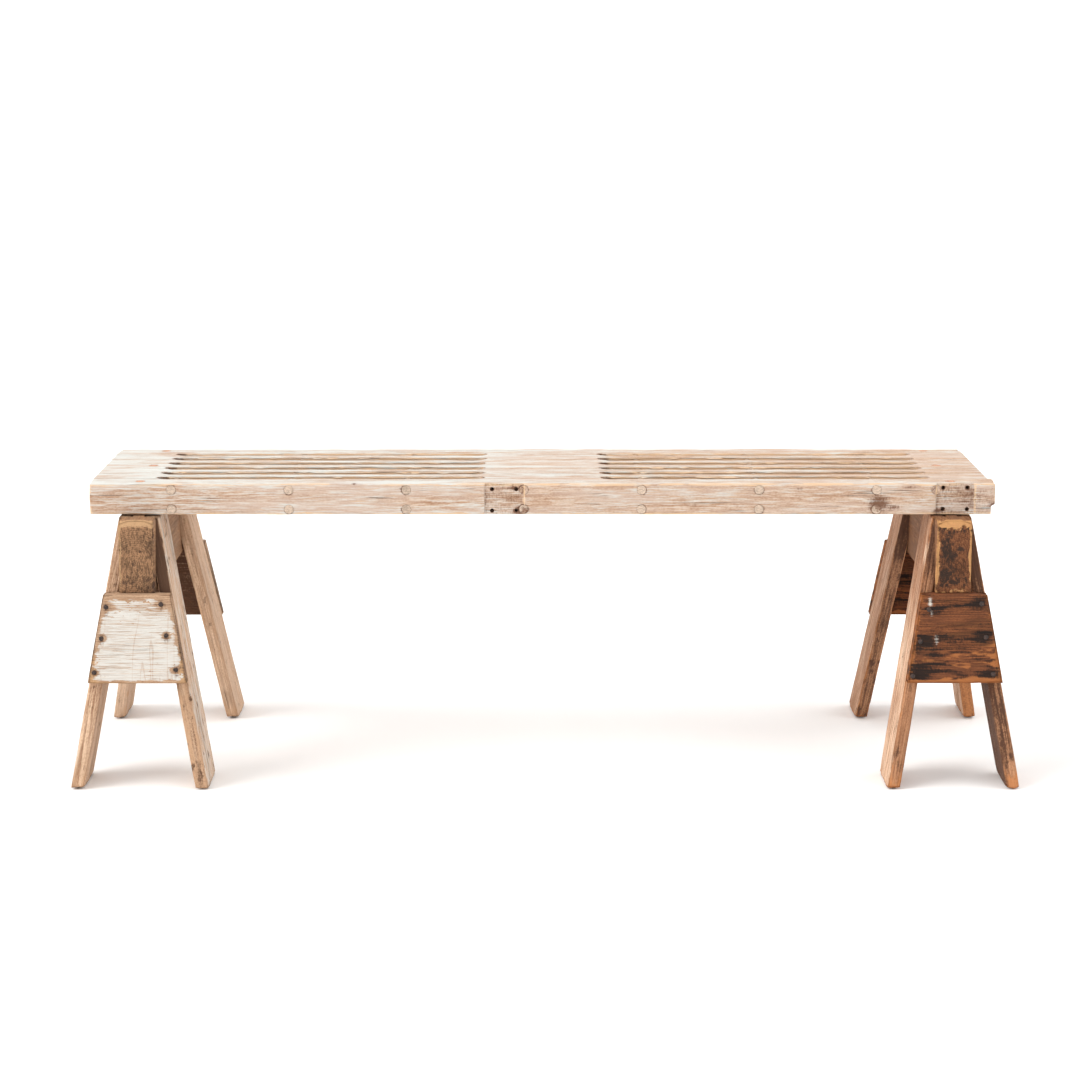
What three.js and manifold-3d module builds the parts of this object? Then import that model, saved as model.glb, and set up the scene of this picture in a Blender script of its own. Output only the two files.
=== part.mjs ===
// Sawhorse bench: a slatted deck screwed down on two low wooden sawhorses.
//
// Millimetres, +Z up, +X along the deck, +Y to the back. The origin is on the floor, midway between
// the two sawhorses. Each sawhorse has a beam on edge, four splayed legs let into tapered gains in
// the beam's sides, and a gusset board across each pair of legs. The deck has an outer rail at the
// front and the back, five slats between them, spacer blocks at both ends and in the middle, and
// through dowels that hold the stack together.

import * as THREE from "three";
import { mergeVertices } from "three/addons/utils/BufferGeometryUtils.js";
import Module from "manifold-3d";

const wasm = await Module();
wasm.setup();

// ---------------------------------------------------------------- driving dimensions

const CLEARANCE = 0.3; // gap between two wooden faces that meet
const OVERCUT = 5; // how far a cutting tool runs past the face it cuts

// sawhorses
const BEAM_WIDTH = 51;
const BEAM_HEIGHT = 105;
const BEAM_LENGTH = 390;
const BEAM_TOP = 384; // above the floor
const LEG_THICKNESS = 21; // measured level, along X
const LEG_WIDTH = 89; // measured level, along Y
const LEG_SET_BACK = 31; // beam end to the leg's outer edge, at the beam's top
const LEG_PROUD = 3.5; // how far the leg's outer face stands out of the beam's side, at its top
const LENGTHWAYS_SPLAY = THREE.MathUtils.degToRad(11); // legs lean out along the beam
const GUSSET_THICKNESS = 19;
const GUSSET_HEIGHT = 125;

// How far each foot's outer face stands from the beam's centre line: the foot nearer to the
// end of the bench, and the one nearer to its middle.
const HORSES = {
  left: { side: -1, footReach: { outer: 98.5, inner: 101.5 } },
  right: { side: 1, footReach: { outer: 98.5, inner: 94 } },
};

// deck
const DECK_LENGTH = 1290;
const DECK_THICKNESS = 46;
const LEFT_OVERHANG = 71; // deck end to the beam's centre line
const RIGHT_OVERHANG = 57;
const RAIL_THICKNESS = 45;
const SLAT_THICKNESS = 25;
const SLAT_COUNT = 5;
const SLOT_WIDTH = 16.5;
const LEFT_BLOCK_LENGTH = 98;
const RIGHT_BLOCK_LENGTH = 89;
const MIDDLE_BLOCK_LENGTH = 182;
const MIDDLE_BLOCK_SHIFT = 3; // from the deck's centre

// front rail
const RAIL_RUNS_PAST = 6.5; // the front rail is longer than the rest at its right-hand end
const BROKEN_CORNER_HEIGHT = 14;
const BROKEN_CORNER_LENGTH = 5;
const SEAT_DEPTH = 2.5; // shallow seats in the front rail, for brackets
const MIDDLE_SEAT_WIDTH = 56.4; // its right-hand edge is at the middle dowels
const MIDDLE_SEAT_HOLE_DROP = 8.5; // deck top to the upper holes
const RIGHT_SEAT_WIDTH = 54.8;
const RIGHT_SEAT_INSET = 24.8; // deck end to the seat's right-hand edge
const RIGHT_SEAT_HOLE_DROP = 6.5;
const SEAT_HOLE_RADIUS = 2.4;
const SEAT_HOLE_SPACING_X = 34.6;
const SEAT_HOLE_SPACING_Z = 31.2;
const SEAT_HOLE_DEPTH = 25;
const SEAT_HOLE_SIDES = 12;

// through dowels, in pairs one above the other
const DOWEL_RADIUS = 6.75;
const DOWEL_SIDES = 16;
const DOWEL_STATIONS = 7;
const FIRST_DOWEL_INSET = 117.5; // deck's left-hand end to the first dowels
const LAST_DOWEL_INSET = 164.5; // deck's right-hand end to the last dowels
const UPPER_DOWEL_DROP = 9.5; // deck top to the upper dowel's centre
const LOWER_DOWEL_RISE = 8.4; // deck underside to the lower dowel's centre
const PLUG_DEPTH = 20; // a short plug at the right-hand seat, which cuts half of its face away

// screws from the deck into the beams
const SCREW_HEAD_RADIUS = 5.5;
const SCREW_HEAD_HEIGHT = 4;
const SCREW_SHANK_RADIUS = 3;
const SCREW_LENGTH = 88;
const SCREW_SINK = 9; // deck top to the top of the head
const PLUG_HOLE_RADIUS = 7.5; // the hole above the head, for a wooden plug
const SCREW_SIDES = 16;

// ---------------------------------------------------------------- worked out from them

const BEAM_BOTTOM = BEAM_TOP - BEAM_HEIGHT;
const HORSE_SPACING = DECK_LENGTH - LEFT_OVERHANG - RIGHT_OVERHANG;
const DECK_OFFSET = (RIGHT_OVERHANG - LEFT_OVERHANG) / 2;
const DECK_LEFT = DECK_OFFSET - DECK_LENGTH / 2;
const DECK_RIGHT = DECK_OFFSET + DECK_LENGTH / 2;
const DECK_BOTTOM = BEAM_TOP + CLEARANCE;
const DECK_TOP = DECK_BOTTOM + DECK_THICKNESS;
const DECK_DEPTH =
  2 * RAIL_THICKNESS + SLAT_COUNT * SLAT_THICKNESS + (SLAT_COUNT + 1) * SLOT_WIDTH;
const SLOPE = Math.tan(LENGTHWAYS_SPLAY);
const LEG_TOP_REACH = BEAM_WIDTH / 2 + LEG_PROUD;
const LEG_EDGE_AT_TOP = BEAM_LENGTH / 2 - LEG_SET_BACK;
const GUSSET_TOP = BEAM_BOTTOM - CLEARANCE;
const GUSSET_BOTTOM = GUSSET_TOP - GUSSET_HEIGHT;
const RAIL_CENTRE = (DECK_DEPTH - RAIL_THICKNESS) / 2;
const SLAT_PITCH = SLAT_THICKNESS + SLOT_WIDTH;

// ---------------------------------------------------------------- geometry helpers

// A three.js geometry as a solid that can be cut and joined.
function solidOf(geometry) {
  const bare = geometry.index ? geometry.toNonIndexed() : geometry.clone();
  bare.deleteAttribute("normal");
  bare.deleteAttribute("uv");
  const merged = mergeVertices(bare, 1e-3);
  return new wasm.Manifold(
    new wasm.Mesh({
      numProp: 3,
      vertProperties: merged.attributes.position.array,
      triVerts: new Uint32Array(merged.index.array),
    }),
  );
}

// A solid as a three.js geometry with flat faces.
function geometryOf(solid) {
  const mesh = solid.getMesh();
  const indexed = new THREE.BufferGeometry();
  indexed.setAttribute("position", new THREE.BufferAttribute(mesh.vertProperties, 3));
  indexed.setIndex(new THREE.BufferAttribute(mesh.triVerts, 1));
  const flat = indexed.toNonIndexed();
  flat.computeVertexNormals();
  return flat;
}

// The geometry less every tool in the list.
function cut(geometry, tools) {
  let solid = solidOf(geometry);
  for (const tool of tools) solid = solid.subtract(solidOf(tool));
  return geometryOf(solid);
}

// A box between two corners.
function boxBetween(low, high) {
  const size = high.map((value, axis) => value - low[axis]);
  const centre = high.map((value, axis) => (value + low[axis]) / 2);
  return new THREE.BoxGeometry(...size).translate(...centre);
}

// A round bar along Y, centred on x and z.
function barAlongY(radius, fromY, toY, x, z, sides) {
  return new THREE.CylinderGeometry(radius, radius, toY - fromY, sides)
    .translate(0, (fromY + toY) / 2, 0)
    .translate(x, 0, z);
}

// A round bar along Z, centred on x and y.
function barAlongZ(radius, fromZ, toZ, x, y, sides) {
  return new THREE.CylinderGeometry(radius, radius, toZ - fromZ, sides)
    .rotateX(Math.PI / 2)
    .translate(x, y, (fromZ + toZ) / 2);
}

// ---------------------------------------------------------------- materials

const wood = (color, roughness) =>
  new THREE.MeshStandardMaterial({ color, roughness, metalness: 0 });

const MATERIALS = {
  deck: wood(0xcbb6a4, 0.85),
  dowel: wood(0xd6c8ba, 0.85),
  leftHorse: wood(0xb99a7d, 0.8),
  leftBeam: wood(0x8d6a4a, 0.8),
  leftGusset: wood(0xe6e0d8, 0.7),
  rightHorse: wood(0xa07a5b, 0.8),
  rightBeam: wood(0x7a5233, 0.8),
  rightGusset: wood(0x6b4226, 0.75),
  screw: new THREE.MeshStandardMaterial({ color: 0x6f6a66, roughness: 0.45, metalness: 0.9 }),
};

function piece(name, geometry, material) {
  const mesh = new THREE.Mesh(geometry, material);
  mesh.name = name;
  return mesh;
}

// ---------------------------------------------------------------- where the fasteners go

const dowelHeights = {
  upper: DECK_TOP - UPPER_DOWEL_DROP,
  lower: DECK_BOTTOM + LOWER_DOWEL_RISE,
};

const dowelSpacing =
  (DECK_LENGTH - FIRST_DOWEL_INSET - LAST_DOWEL_INSET) / (DOWEL_STATIONS - 1);

const dowelStations = Array.from(
  { length: DOWEL_STATIONS },
  (_, station) => DECK_LEFT + FIRST_DOWEL_INSET + station * dowelSpacing,
);

// The short plug is centred on the right-hand seat's left edge, level with the upper dowels.
const plugX = DECK_RIGHT - RIGHT_SEAT_INSET - RIGHT_SEAT_WIDTH;

const screwRows = { front: -RAIL_CENTRE, middle: 0, back: RAIL_CENTRE };

const beamCentre = (horse) => (horse.side * HORSE_SPACING) / 2;

// Clearance holes for every dowel, from front to back.
function dowelHoles() {
  const reach = DECK_DEPTH / 2 + OVERCUT;
  return dowelStations.flatMap((x) =>
    Object.values(dowelHeights).map((z) =>
      barAlongY(DOWEL_RADIUS + CLEARANCE, -reach, reach, x, z, DOWEL_SIDES),
    ),
  );
}

// The short plug's hole in the front rail, grown by a gap all round.
function plugBar(gap) {
  const front = -DECK_DEPTH / 2 - (gap > 0 ? OVERCUT : 0);
  const back = -DECK_DEPTH / 2 + PLUG_DEPTH + gap;
  return barAlongY(DOWEL_RADIUS + gap, front, back, plugX, dowelHeights.upper, DOWEL_SIDES);
}

// The hole for one deck screw: wide above the top of the head, narrow below it.
function screwHole(x, y) {
  const headBottom = DECK_TOP - SCREW_SINK - SCREW_HEAD_HEIGHT - CLEARANCE;
  return [
    barAlongZ(PLUG_HOLE_RADIUS, headBottom, DECK_TOP + OVERCUT, x, y, SCREW_SIDES),
    barAlongZ(SCREW_SHANK_RADIUS + CLEARANCE, screwTip() - CLEARANCE, DECK_TOP, x, y, SCREW_SIDES),
  ];
}

const screwTip = () => DECK_TOP - SCREW_SINK - SCREW_LENGTH;

function screwHolesInRow(y) {
  return Object.values(HORSES).flatMap((horse) => screwHole(beamCentre(horse), y));
}

// ---------------------------------------------------------------- deck

const middleDowelX = dowelStations[(DOWEL_STATIONS - 1) / 2];

const SEATS = {
  middle: {
    x: middleDowelX - MIDDLE_SEAT_WIDTH / 2,
    width: MIDDLE_SEAT_WIDTH,
    holeDrop: MIDDLE_SEAT_HOLE_DROP,
  },
  right: {
    x: DECK_RIGHT - RIGHT_SEAT_INSET - RIGHT_SEAT_WIDTH / 2,
    width: RIGHT_SEAT_WIDTH,
    holeDrop: RIGHT_SEAT_HOLE_DROP,
  },
};

function deckBoard(fromX, toX, centreY, thickness) {
  return boxBetween(
    [fromX, centreY - thickness / 2, DECK_BOTTOM],
    [toX, centreY + thickness / 2, DECK_TOP],
  );
}

// A shallow seat across the front rail's face.
function seatPocket(seat) {
  const front = -DECK_DEPTH / 2;
  return boxBetween(
    [seat.x - seat.width / 2, front - OVERCUT, DECK_BOTTOM - OVERCUT],
    [seat.x + seat.width / 2, front + SEAT_DEPTH, DECK_TOP + OVERCUT],
  );
}

// The seat's four screw holes, in a rectangle.
function seatHoles(seat) {
  const front = -DECK_DEPTH / 2;
  const top = DECK_TOP - seat.holeDrop;
  return [-1, 1].flatMap((across) =>
    [top, top - SEAT_HOLE_SPACING_Z].map((z) =>
      barAlongY(
        SEAT_HOLE_RADIUS,
        front - OVERCUT,
        front + SEAT_DEPTH + SEAT_HOLE_DEPTH,
        seat.x + (across * SEAT_HOLE_SPACING_X) / 2,
        z,
        SEAT_HOLE_SIDES,
      ),
    ),
  );
}

// The lower corner that has split away from the front rail's right-hand end.
function brokenCorner() {
  const end = DECK_RIGHT + RAIL_RUNS_PAST;
  return boxBetween(
    [end - BROKEN_CORNER_LENGTH, -DECK_DEPTH / 2 - OVERCUT, DECK_BOTTOM - OVERCUT],
    [end + OVERCUT, DECK_DEPTH / 2, DECK_BOTTOM + BROKEN_CORNER_HEIGHT],
  );
}

function frontRail() {
  const board = deckBoard(DECK_LEFT, DECK_RIGHT + RAIL_RUNS_PAST, -RAIL_CENTRE, RAIL_THICKNESS);
  const seats = Object.values(SEATS);
  return cut(board, [
    ...dowelHoles(),
    ...screwHolesInRow(screwRows.front),
    ...seats.map(seatPocket),
    ...seats.flatMap(seatHoles),
    plugBar(CLEARANCE),
    brokenCorner(),
  ]);
}

function backRail() {
  const board = deckBoard(DECK_LEFT, DECK_RIGHT, RAIL_CENTRE, RAIL_THICKNESS);
  return cut(board, [...dowelHoles(), ...screwHolesInRow(screwRows.back)]);
}

const slatCentre = (index) => (index - (SLAT_COUNT - 1) / 2) * SLAT_PITCH;

function slat(index) {
  const y = slatCentre(index);
  const board = deckBoard(DECK_LEFT, DECK_RIGHT, y, SLAT_THICKNESS);
  const screws = y === screwRows.middle ? screwHolesInRow(y) : [];
  return cut(board, [...dowelHoles(), ...screws]);
}

const BLOCKS = {
  left: [DECK_LEFT, DECK_LEFT + LEFT_BLOCK_LENGTH],
  middle: [
    DECK_OFFSET + MIDDLE_BLOCK_SHIFT - MIDDLE_BLOCK_LENGTH / 2,
    DECK_OFFSET + MIDDLE_BLOCK_SHIFT + MIDDLE_BLOCK_LENGTH / 2,
  ],
  right: [DECK_RIGHT - RIGHT_BLOCK_LENGTH, DECK_RIGHT],
};

// A block that fills one slot between two slats, with a gap to each of them.
function spacerBlock([fromX, toX], slot) {
  const y = (slot - SLAT_COUNT / 2) * SLAT_PITCH;
  const board = deckBoard(fromX, toX, y, SLOT_WIDTH - 2 * CLEARANCE);
  const crossing = dowelStations.some((x) => x > fromX && x < toX);
  return crossing ? cut(board, dowelHoles()) : board;
}

function dowel(x, z) {
  const bar = barAlongY(DOWEL_RADIUS, -DECK_DEPTH / 2, DECK_DEPTH / 2, x, z, DOWEL_SIDES);
  return cut(bar, Object.values(SEATS).map(seatPocket));
}

function deckScrew(x, y) {
  const headTop = DECK_TOP - SCREW_SINK;
  const headBottom = headTop - SCREW_HEAD_HEIGHT;
  const profile = [
    [0, screwTip()],
    [SCREW_SHANK_RADIUS / 3, screwTip()],
    [SCREW_SHANK_RADIUS, screwTip() + 2 * SCREW_SHANK_RADIUS],
    [SCREW_SHANK_RADIUS, headBottom],
    [SCREW_HEAD_RADIUS, headBottom],
    [SCREW_HEAD_RADIUS, headTop],
    [0, headTop],
  ].map(([radius, height]) => new THREE.Vector2(radius, height));
  return new THREE.LatheGeometry(profile, SCREW_SIDES).rotateX(Math.PI / 2).translate(x, y, 0);
}

function deck() {
  const group = new THREE.Group();
  group.add(piece("deck_rail_front", frontRail(), MATERIALS.deck));
  group.add(piece("deck_rail_back", backRail(), MATERIALS.deck));
  for (let index = 0; index < SLAT_COUNT; index++)
    group.add(piece(`deck_slat_${index + 1}`, slat(index), MATERIALS.deck));
  for (const [place, span] of Object.entries(BLOCKS))
    for (let slot = 0; slot <= SLAT_COUNT; slot++)
      group.add(piece(`spacer_${place}_${slot + 1}`, spacerBlock(span, slot), MATERIALS.deck));
  dowelStations.forEach((x, station) => {
    for (const [row, z] of Object.entries(dowelHeights))
      group.add(piece(`dowel_${row}_${station + 1}`, dowel(x, z), MATERIALS.dowel));
  });
  const plug = cut(plugBar(0), [seatPocket(SEATS.right)]);
  group.add(piece("rail_plug", plug, MATERIALS.dowel));
  for (const [place, horse] of Object.entries(HORSES))
    for (const [row, y] of Object.entries(screwRows))
      group.add(
        piece(`deck_screw_${place}_${row}`, deckScrew(beamCentre(horse), y), MATERIALS.screw),
      );
  return group;
}

// ---------------------------------------------------------------- sawhorse

// How far the leg's outer face stands from the beam's centre line, at a height.
const legReach = (footReach, z) =>
  LEG_TOP_REACH + ((footReach - LEG_TOP_REACH) * (BEAM_TOP - z)) / BEAM_TOP;

// How far the leg's outer edge stands from the beam's middle, at a height.
const legEdge = (z) => LEG_EDGE_AT_TOP + (BEAM_TOP - z) * SLOPE;

// A leg: a board whose level section is the same at every height, moved out along X and Y as it
// goes down. across is -1 or 1 along X, along is -1 or 1 along Y, and grow makes it thicker.
function leg(across, along, footReach, grow = 0) {
  const top = BEAM_TOP + (grow > 0 ? OVERCUT : 0);
  const section = new THREE.BoxGeometry(
    LEG_THICKNESS + 2 * grow,
    LEG_WIDTH + 2 * grow,
    top,
  ).translate(0, 0, top / 2);
  const leanX = -across * (legReach(footReach, 0) - legReach(footReach, 1));
  const leanY = -along * SLOPE;
  const shear = new THREE.Matrix4().set(1, 0, leanX, 0, 0, 1, leanY, 0, 0, 0, 1, 0, 0, 0, 0, 1);
  const footX = across * (footReach - LEG_THICKNESS / 2);
  const footY = along * (legEdge(0) - LEG_WIDTH / 2);
  return section.applyMatrix4(shear).translate(footX, footY, 0);
}

// A board across the outer edges of two legs, tucked under the beam and flush with both legs.
function gusset(along, reachOf) {
  const outline = new THREE.Shape([
    new THREE.Vector2(-legReach(reachOf[-1], GUSSET_BOTTOM), GUSSET_BOTTOM),
    new THREE.Vector2(legReach(reachOf[1], GUSSET_BOTTOM), GUSSET_BOTTOM),
    new THREE.Vector2(legReach(reachOf[1], GUSSET_TOP), GUSSET_TOP),
    new THREE.Vector2(-legReach(reachOf[-1], GUSSET_TOP), GUSSET_TOP),
  ]);
  const levelThickness = GUSSET_THICKNESS / Math.cos(LENGTHWAYS_SPLAY);
  const board = new THREE.ExtrudeGeometry(outline, { depth: levelThickness, bevelEnabled: false });
  const innerFace = legEdge(0) + CLEARANCE;
  const middle = along * (innerFace + levelThickness / 2);
  const shear = new THREE.Matrix4().set(1, 0, 0, 0, 0, 1, -along * SLOPE, 0, 0, 0, 1, 0, 0, 0, 0, 1);
  return board
    .translate(0, 0, -levelThickness / 2)
    .rotateX(Math.PI / 2)
    .applyMatrix4(shear)
    .translate(0, middle, 0);
}

function beam(horse, reachOf) {
  const board = boxBetween(
    [-BEAM_WIDTH / 2, -BEAM_LENGTH / 2, BEAM_BOTTOM],
    [BEAM_WIDTH / 2, BEAM_LENGTH / 2, BEAM_TOP],
  );
  const gains = [-1, 1].flatMap((across) =>
    [-1, 1].map((along) => leg(across, along, reachOf[across], CLEARANCE)),
  );
  const pilots = Object.values(screwRows).flatMap((y) => screwHole(0, y));
  return cut(board, [...gains, ...pilots]);
}

function sawhorse(place, horse, materials) {
  // reachOf[-1] is the left-hand feet's reach and reachOf[1] the right-hand feet's.
  const { outer, inner } = horse.footReach;
  const reachOf = { [horse.side]: outer, [-horse.side]: inner };
  const group = new THREE.Group();
  group.add(piece(`${place}_beam`, beam(horse, reachOf), materials.beam));
  for (const [end, along] of Object.entries({ front: -1, back: 1 })) {
    for (const [hand, across] of Object.entries({ left: -1, right: 1 })) {
      const board = leg(across, along, reachOf[across]);
      group.add(piece(`${place}_leg_${end}_${hand}`, board, materials.legs));
    }
    group.add(piece(`${place}_gusset_${end}`, gusset(along, reachOf), materials.gusset));
  }
  group.position.x = beamCentre(horse);
  return group;
}

// ---------------------------------------------------------------- assembly

const bench = new THREE.Group();
bench.add(deck());
bench.add(
  sawhorse("left", HORSES.left, {
    beam: MATERIALS.leftBeam,
    legs: MATERIALS.leftHorse,
    gusset: MATERIALS.leftGusset,
  }),
);
bench.add(
  sawhorse("right", HORSES.right, {
    beam: MATERIALS.rightBeam,
    legs: MATERIALS.rightHorse,
    gusset: MATERIALS.rightGusset,
  }),
);

export default bench;
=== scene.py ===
# %% [markdown]
# # A slatted bench on two old sawhorses
#
# This lesson dresses a bench whose boards, sizes and places are already settled. The frame gives
# the box of every board. Each step below turns one kind of board into a worn piece of timber: an
# old softwood deck with a rubbed-off lime wash, a tan sawhorse with a white-painted gusset, and a
# dark brown sawhorse with an oil-blackened one.

# %% The fixed frame
import math

import bpy
import numpy as np
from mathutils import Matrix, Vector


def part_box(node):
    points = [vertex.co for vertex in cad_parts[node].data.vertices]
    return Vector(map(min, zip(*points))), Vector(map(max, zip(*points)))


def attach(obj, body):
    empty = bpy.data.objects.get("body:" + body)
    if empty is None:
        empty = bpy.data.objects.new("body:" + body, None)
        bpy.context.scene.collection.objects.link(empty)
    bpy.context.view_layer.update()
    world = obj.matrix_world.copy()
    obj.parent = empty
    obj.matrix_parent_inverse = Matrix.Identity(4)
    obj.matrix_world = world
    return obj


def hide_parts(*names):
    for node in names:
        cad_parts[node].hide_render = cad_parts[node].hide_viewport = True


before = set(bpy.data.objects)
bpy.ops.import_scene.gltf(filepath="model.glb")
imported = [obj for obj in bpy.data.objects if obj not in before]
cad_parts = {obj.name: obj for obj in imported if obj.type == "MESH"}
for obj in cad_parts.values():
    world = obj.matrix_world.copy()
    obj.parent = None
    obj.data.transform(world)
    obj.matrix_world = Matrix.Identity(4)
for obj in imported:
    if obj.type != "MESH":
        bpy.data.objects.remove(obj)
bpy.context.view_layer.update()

BODY = "root"
MM = 0.001

# %% [markdown]
# ## Camera, floor and light
#
# The camera stands low in front of the bench with a long lens, so the deck's front rail is almost
# square to it and the slots show as thin stripes. The room is a white studio: a pale floor without
# a horizon, an even white sky, and a broad soft lamp on each side. The left one is the stronger, so
# the sawhorses throw gentle shadows to the right. Faces that look to either side come out lighter
# than faces that look to the front.

# %% Camera
CAMERA_PLACE = (-0.0108, -3.8432, 1.0813)
# In radians: how far below level it looks, and how far it is turned to the right.
CAMERA_PITCH = 0.1963
CAMERA_YAW = 0.0009
# In millimetres.
LENS = 87.45
SENSOR_WIDTH = 36.0


def add_camera():
    """A long lens that looks along +Y, tipped down a little."""
    data = bpy.data.cameras.new("camera")
    data.lens = LENS
    data.sensor_width = SENSOR_WIDTH
    data.clip_end = 200.0
    camera = bpy.data.objects.new("camera", data)
    camera.location = CAMERA_PLACE
    camera.rotation_euler = (math.pi / 2 - CAMERA_PITCH, 0.0, -CAMERA_YAW)
    bpy.context.scene.collection.objects.link(camera)
    bpy.context.scene.camera = camera
    return camera


add_camera()
bpy.context.scene.view_settings.view_transform = "Standard"
print("camera at", CAMERA_PLACE)

# %% Light and floor
SKY_STRENGTH = 0.86
# Strength, spread in degrees, and the way the light comes from.
LAMPS = {
    "key_lamp": (2.3, 44.0, (-3.3, -1.2, 2.5)),
    "fill_lamp": (1.25, 70.0, (3.2, -0.3, 2.6)),
}
# Where the paper sweep starts to turn up, its bend, and how far up and out it goes, in metres.
SWEEP_START = 14.0
SWEEP_RADIUS = 4.0
SWEEP_HEIGHT = 22.0
SWEEP_REACH = 60.0


def add_sky():
    """An even white sky that fills every shadow."""
    world = bpy.data.worlds.new("sky")
    world.use_nodes = True
    background = world.node_tree.nodes["Background"]
    background.inputs["Color"].default_value = (1.0, 1.0, 1.0, 1.0)
    background.inputs["Strength"].default_value = SKY_STRENGTH
    bpy.context.scene.world = world


def add_lamp(name, strength, spread, place):
    """A broad soft lamp, so far off that it lights the whole floor alike."""
    data = bpy.data.lights.new(name, "SUN")
    data.energy = strength
    data.angle = math.radians(spread)
    data.color = (1.0, 0.985, 0.96)
    lamp = bpy.data.objects.new(name, data)
    x, y, z = place
    lamp.rotation_euler = (math.atan2(math.hypot(x, y), z), 0.0, math.atan2(-y, -x) - math.pi / 2)
    bpy.context.scene.collection.objects.link(lamp)


def add_floor():
    """A paper sweep: flat under the bench, then round and up a long way behind it.

    Its profile is a straight run, a quarter circle and a straight rise, carried along X.
    """
    turn = np.linspace(0.0, math.pi / 2, 24)
    wall = SWEEP_START + SWEEP_RADIUS
    back = np.concatenate([[-SWEEP_REACH], SWEEP_START + SWEEP_RADIUS * np.sin(turn), [wall]])
    up = np.concatenate([[0.0], SWEEP_RADIUS * (1 - np.cos(turn)), [SWEEP_HEIGHT]])
    count = len(back)
    left = np.stack([np.full(count, -SWEEP_REACH), back, up], axis=-1)
    right = np.stack([np.full(count, SWEEP_REACH), back, up], axis=-1)
    faces = [(n, n + count, n + count + 1, n + 1) for n in range(count - 1)]
    mesh = bpy.data.meshes.new("floor")
    mesh.from_pydata(np.concatenate([left, right]).tolist(), [], faces)
    floor = bpy.data.objects.new("floor", mesh)
    bpy.context.scene.collection.objects.link(floor)
    paper = bpy.data.materials.new("floor_paper")
    paper.use_nodes = True
    shader = paper.node_tree.nodes["Principled BSDF"]
    shader.inputs["Base Color"].default_value = (0.955, 0.955, 0.955, 1.0)
    shader.inputs["Roughness"].default_value = 0.9
    shader.inputs["Specular IOR Level"].default_value = 0.1
    mesh.materials.append(paper)


add_sky()
for lamp_name, settings in LAMPS.items():
    add_lamp(lamp_name, *settings)
add_floor()
print("lamps:", sorted(LAMPS))

# %% [markdown]
# ## Noise worked out as whole arrays
#
# Old timber is never quite straight. A smooth noise gives every board its own dips, ridges and
# chips. It is value noise: each corner of a unit lattice gets a number from a fixed integer hash,
# and a point mixes its eight corners with a smoothstep weight. Nothing is random from run to run.

# %% Lattice noise
def hashed(ix, iy, iz, seed):
    """A number from 0 to 1 for each whole-numbered lattice point: mixed integer products."""
    mixed = (ix * 374761393 + iy * 668265263 + iz * 2147483647 + seed * 1274126177) & 0xFFFFFFFF
    mixed = ((mixed ^ (mixed >> 13)) * 1274126177) & 0xFFFFFFFF
    return ((mixed ^ (mixed >> 16)) & 0xFFFFFF) / float(0xFFFFFF)


def smooth_noise(points, size, seed):
    """Value noise from 0 to 1: the eight lattice corners round each point, mixed by smoothstep.

    size says how far apart the lattice points lie along each axis.
    """
    points = points / np.array(size)
    floor = np.floor(points)
    part = points - floor
    weight = part * part * (3.0 - 2.0 * part)
    cell = floor.astype(np.int64)
    total = np.zeros(points.shape[:-1])
    for corner in range(8):
        step = np.array([corner & 1, corner >> 1 & 1, corner >> 2 & 1])
        share = np.prod(np.where(step == 1, weight, 1.0 - weight), axis=-1)
        total += share * hashed(*np.moveaxis(cell + step, -1, 0), seed)
    return total


def rough_noise(points, size, seed, octaves=3):
    """Value noise summed over octaves, each half as strong and twice as fine as the one before."""
    shares = [0.5**octave for octave in range(octaves)]
    layers = [share * smooth_noise(points, np.array(size) * share, seed + octave)
              for octave, share in enumerate(shares)]
    return sum(layers) / sum(shares)


def smoothstep(low, high, value):
    """0 below low, 1 above high, and a smooth rise between."""
    share = np.clip((value - low) / (high - low), 0.0, 1.0)
    return share * share * (3.0 - 2.0 * share)


def near(points, centre, size):
    """1 at the centre, fading with distance: exp of minus the squared distance in sizes."""
    offset = (points - np.array(centre)) / np.array(size)
    return np.exp(-np.sum(offset * offset, axis=-1))

# %% [markdown]
# ## Where a board lies
#
# A deck board or beam is a plain box. A leg leans two ways, and a gusset leans and tapers, but both
# are cut level at top and bottom. So eight corners place any of them: the level rectangle of its
# lowest points and the level rectangle of its highest. A point inside is a mix of the eight.

# %% Eight corners of a board
LEVEL_BAND = 0.1 * MM


def box_corners(node):
    """The eight corners of a node's box, as an array indexed by x, y and z side."""
    low, high = (np.array(corner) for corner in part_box(node))
    sides = np.stack([low, high])
    return np.stack(
        [[[(sides[i][0], sides[j][1], sides[k][2]) for k in (0, 1)] for j in (0, 1)] for i in (0, 1)]
    )


def leaning_corners(node):
    """The eight corners of a leaning board, from the level rectangles at its foot and its top."""
    points = mesh_points(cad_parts[node].data)
    corners = np.zeros((2, 2, 2, 3))
    for k, height in enumerate((points[:, 2].min(), points[:, 2].max())):
        level = points[np.abs(points[:, 2] - height) < LEVEL_BAND]
        sides = np.stack([level.min(0), level.max(0)])
        for i in (0, 1):
            for j in (0, 1):
                corners[i, j, k] = (sides[i][0], sides[j][1], height)
    return corners


# Which world axes run along the grain, across the board and through it.
GRAIN_AXES = {"X": (0, 2, 1), "Y": (1, 2, 0), "Z": (2, 1, 0)}


def turned(corners, grain):
    """The corners re-indexed by along, across and through, in that order."""
    return np.transpose(corners, (*GRAIN_AXES[grain], 3))


def board_ways(corners):
    """Along, across and through: from the middle of each face to the middle of the opposite one."""
    return np.stack([np.take(corners, 1, axis=n).mean((0, 1)) - np.take(corners, 0, axis=n).mean((0, 1))
                     for n in range(3)])


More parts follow.
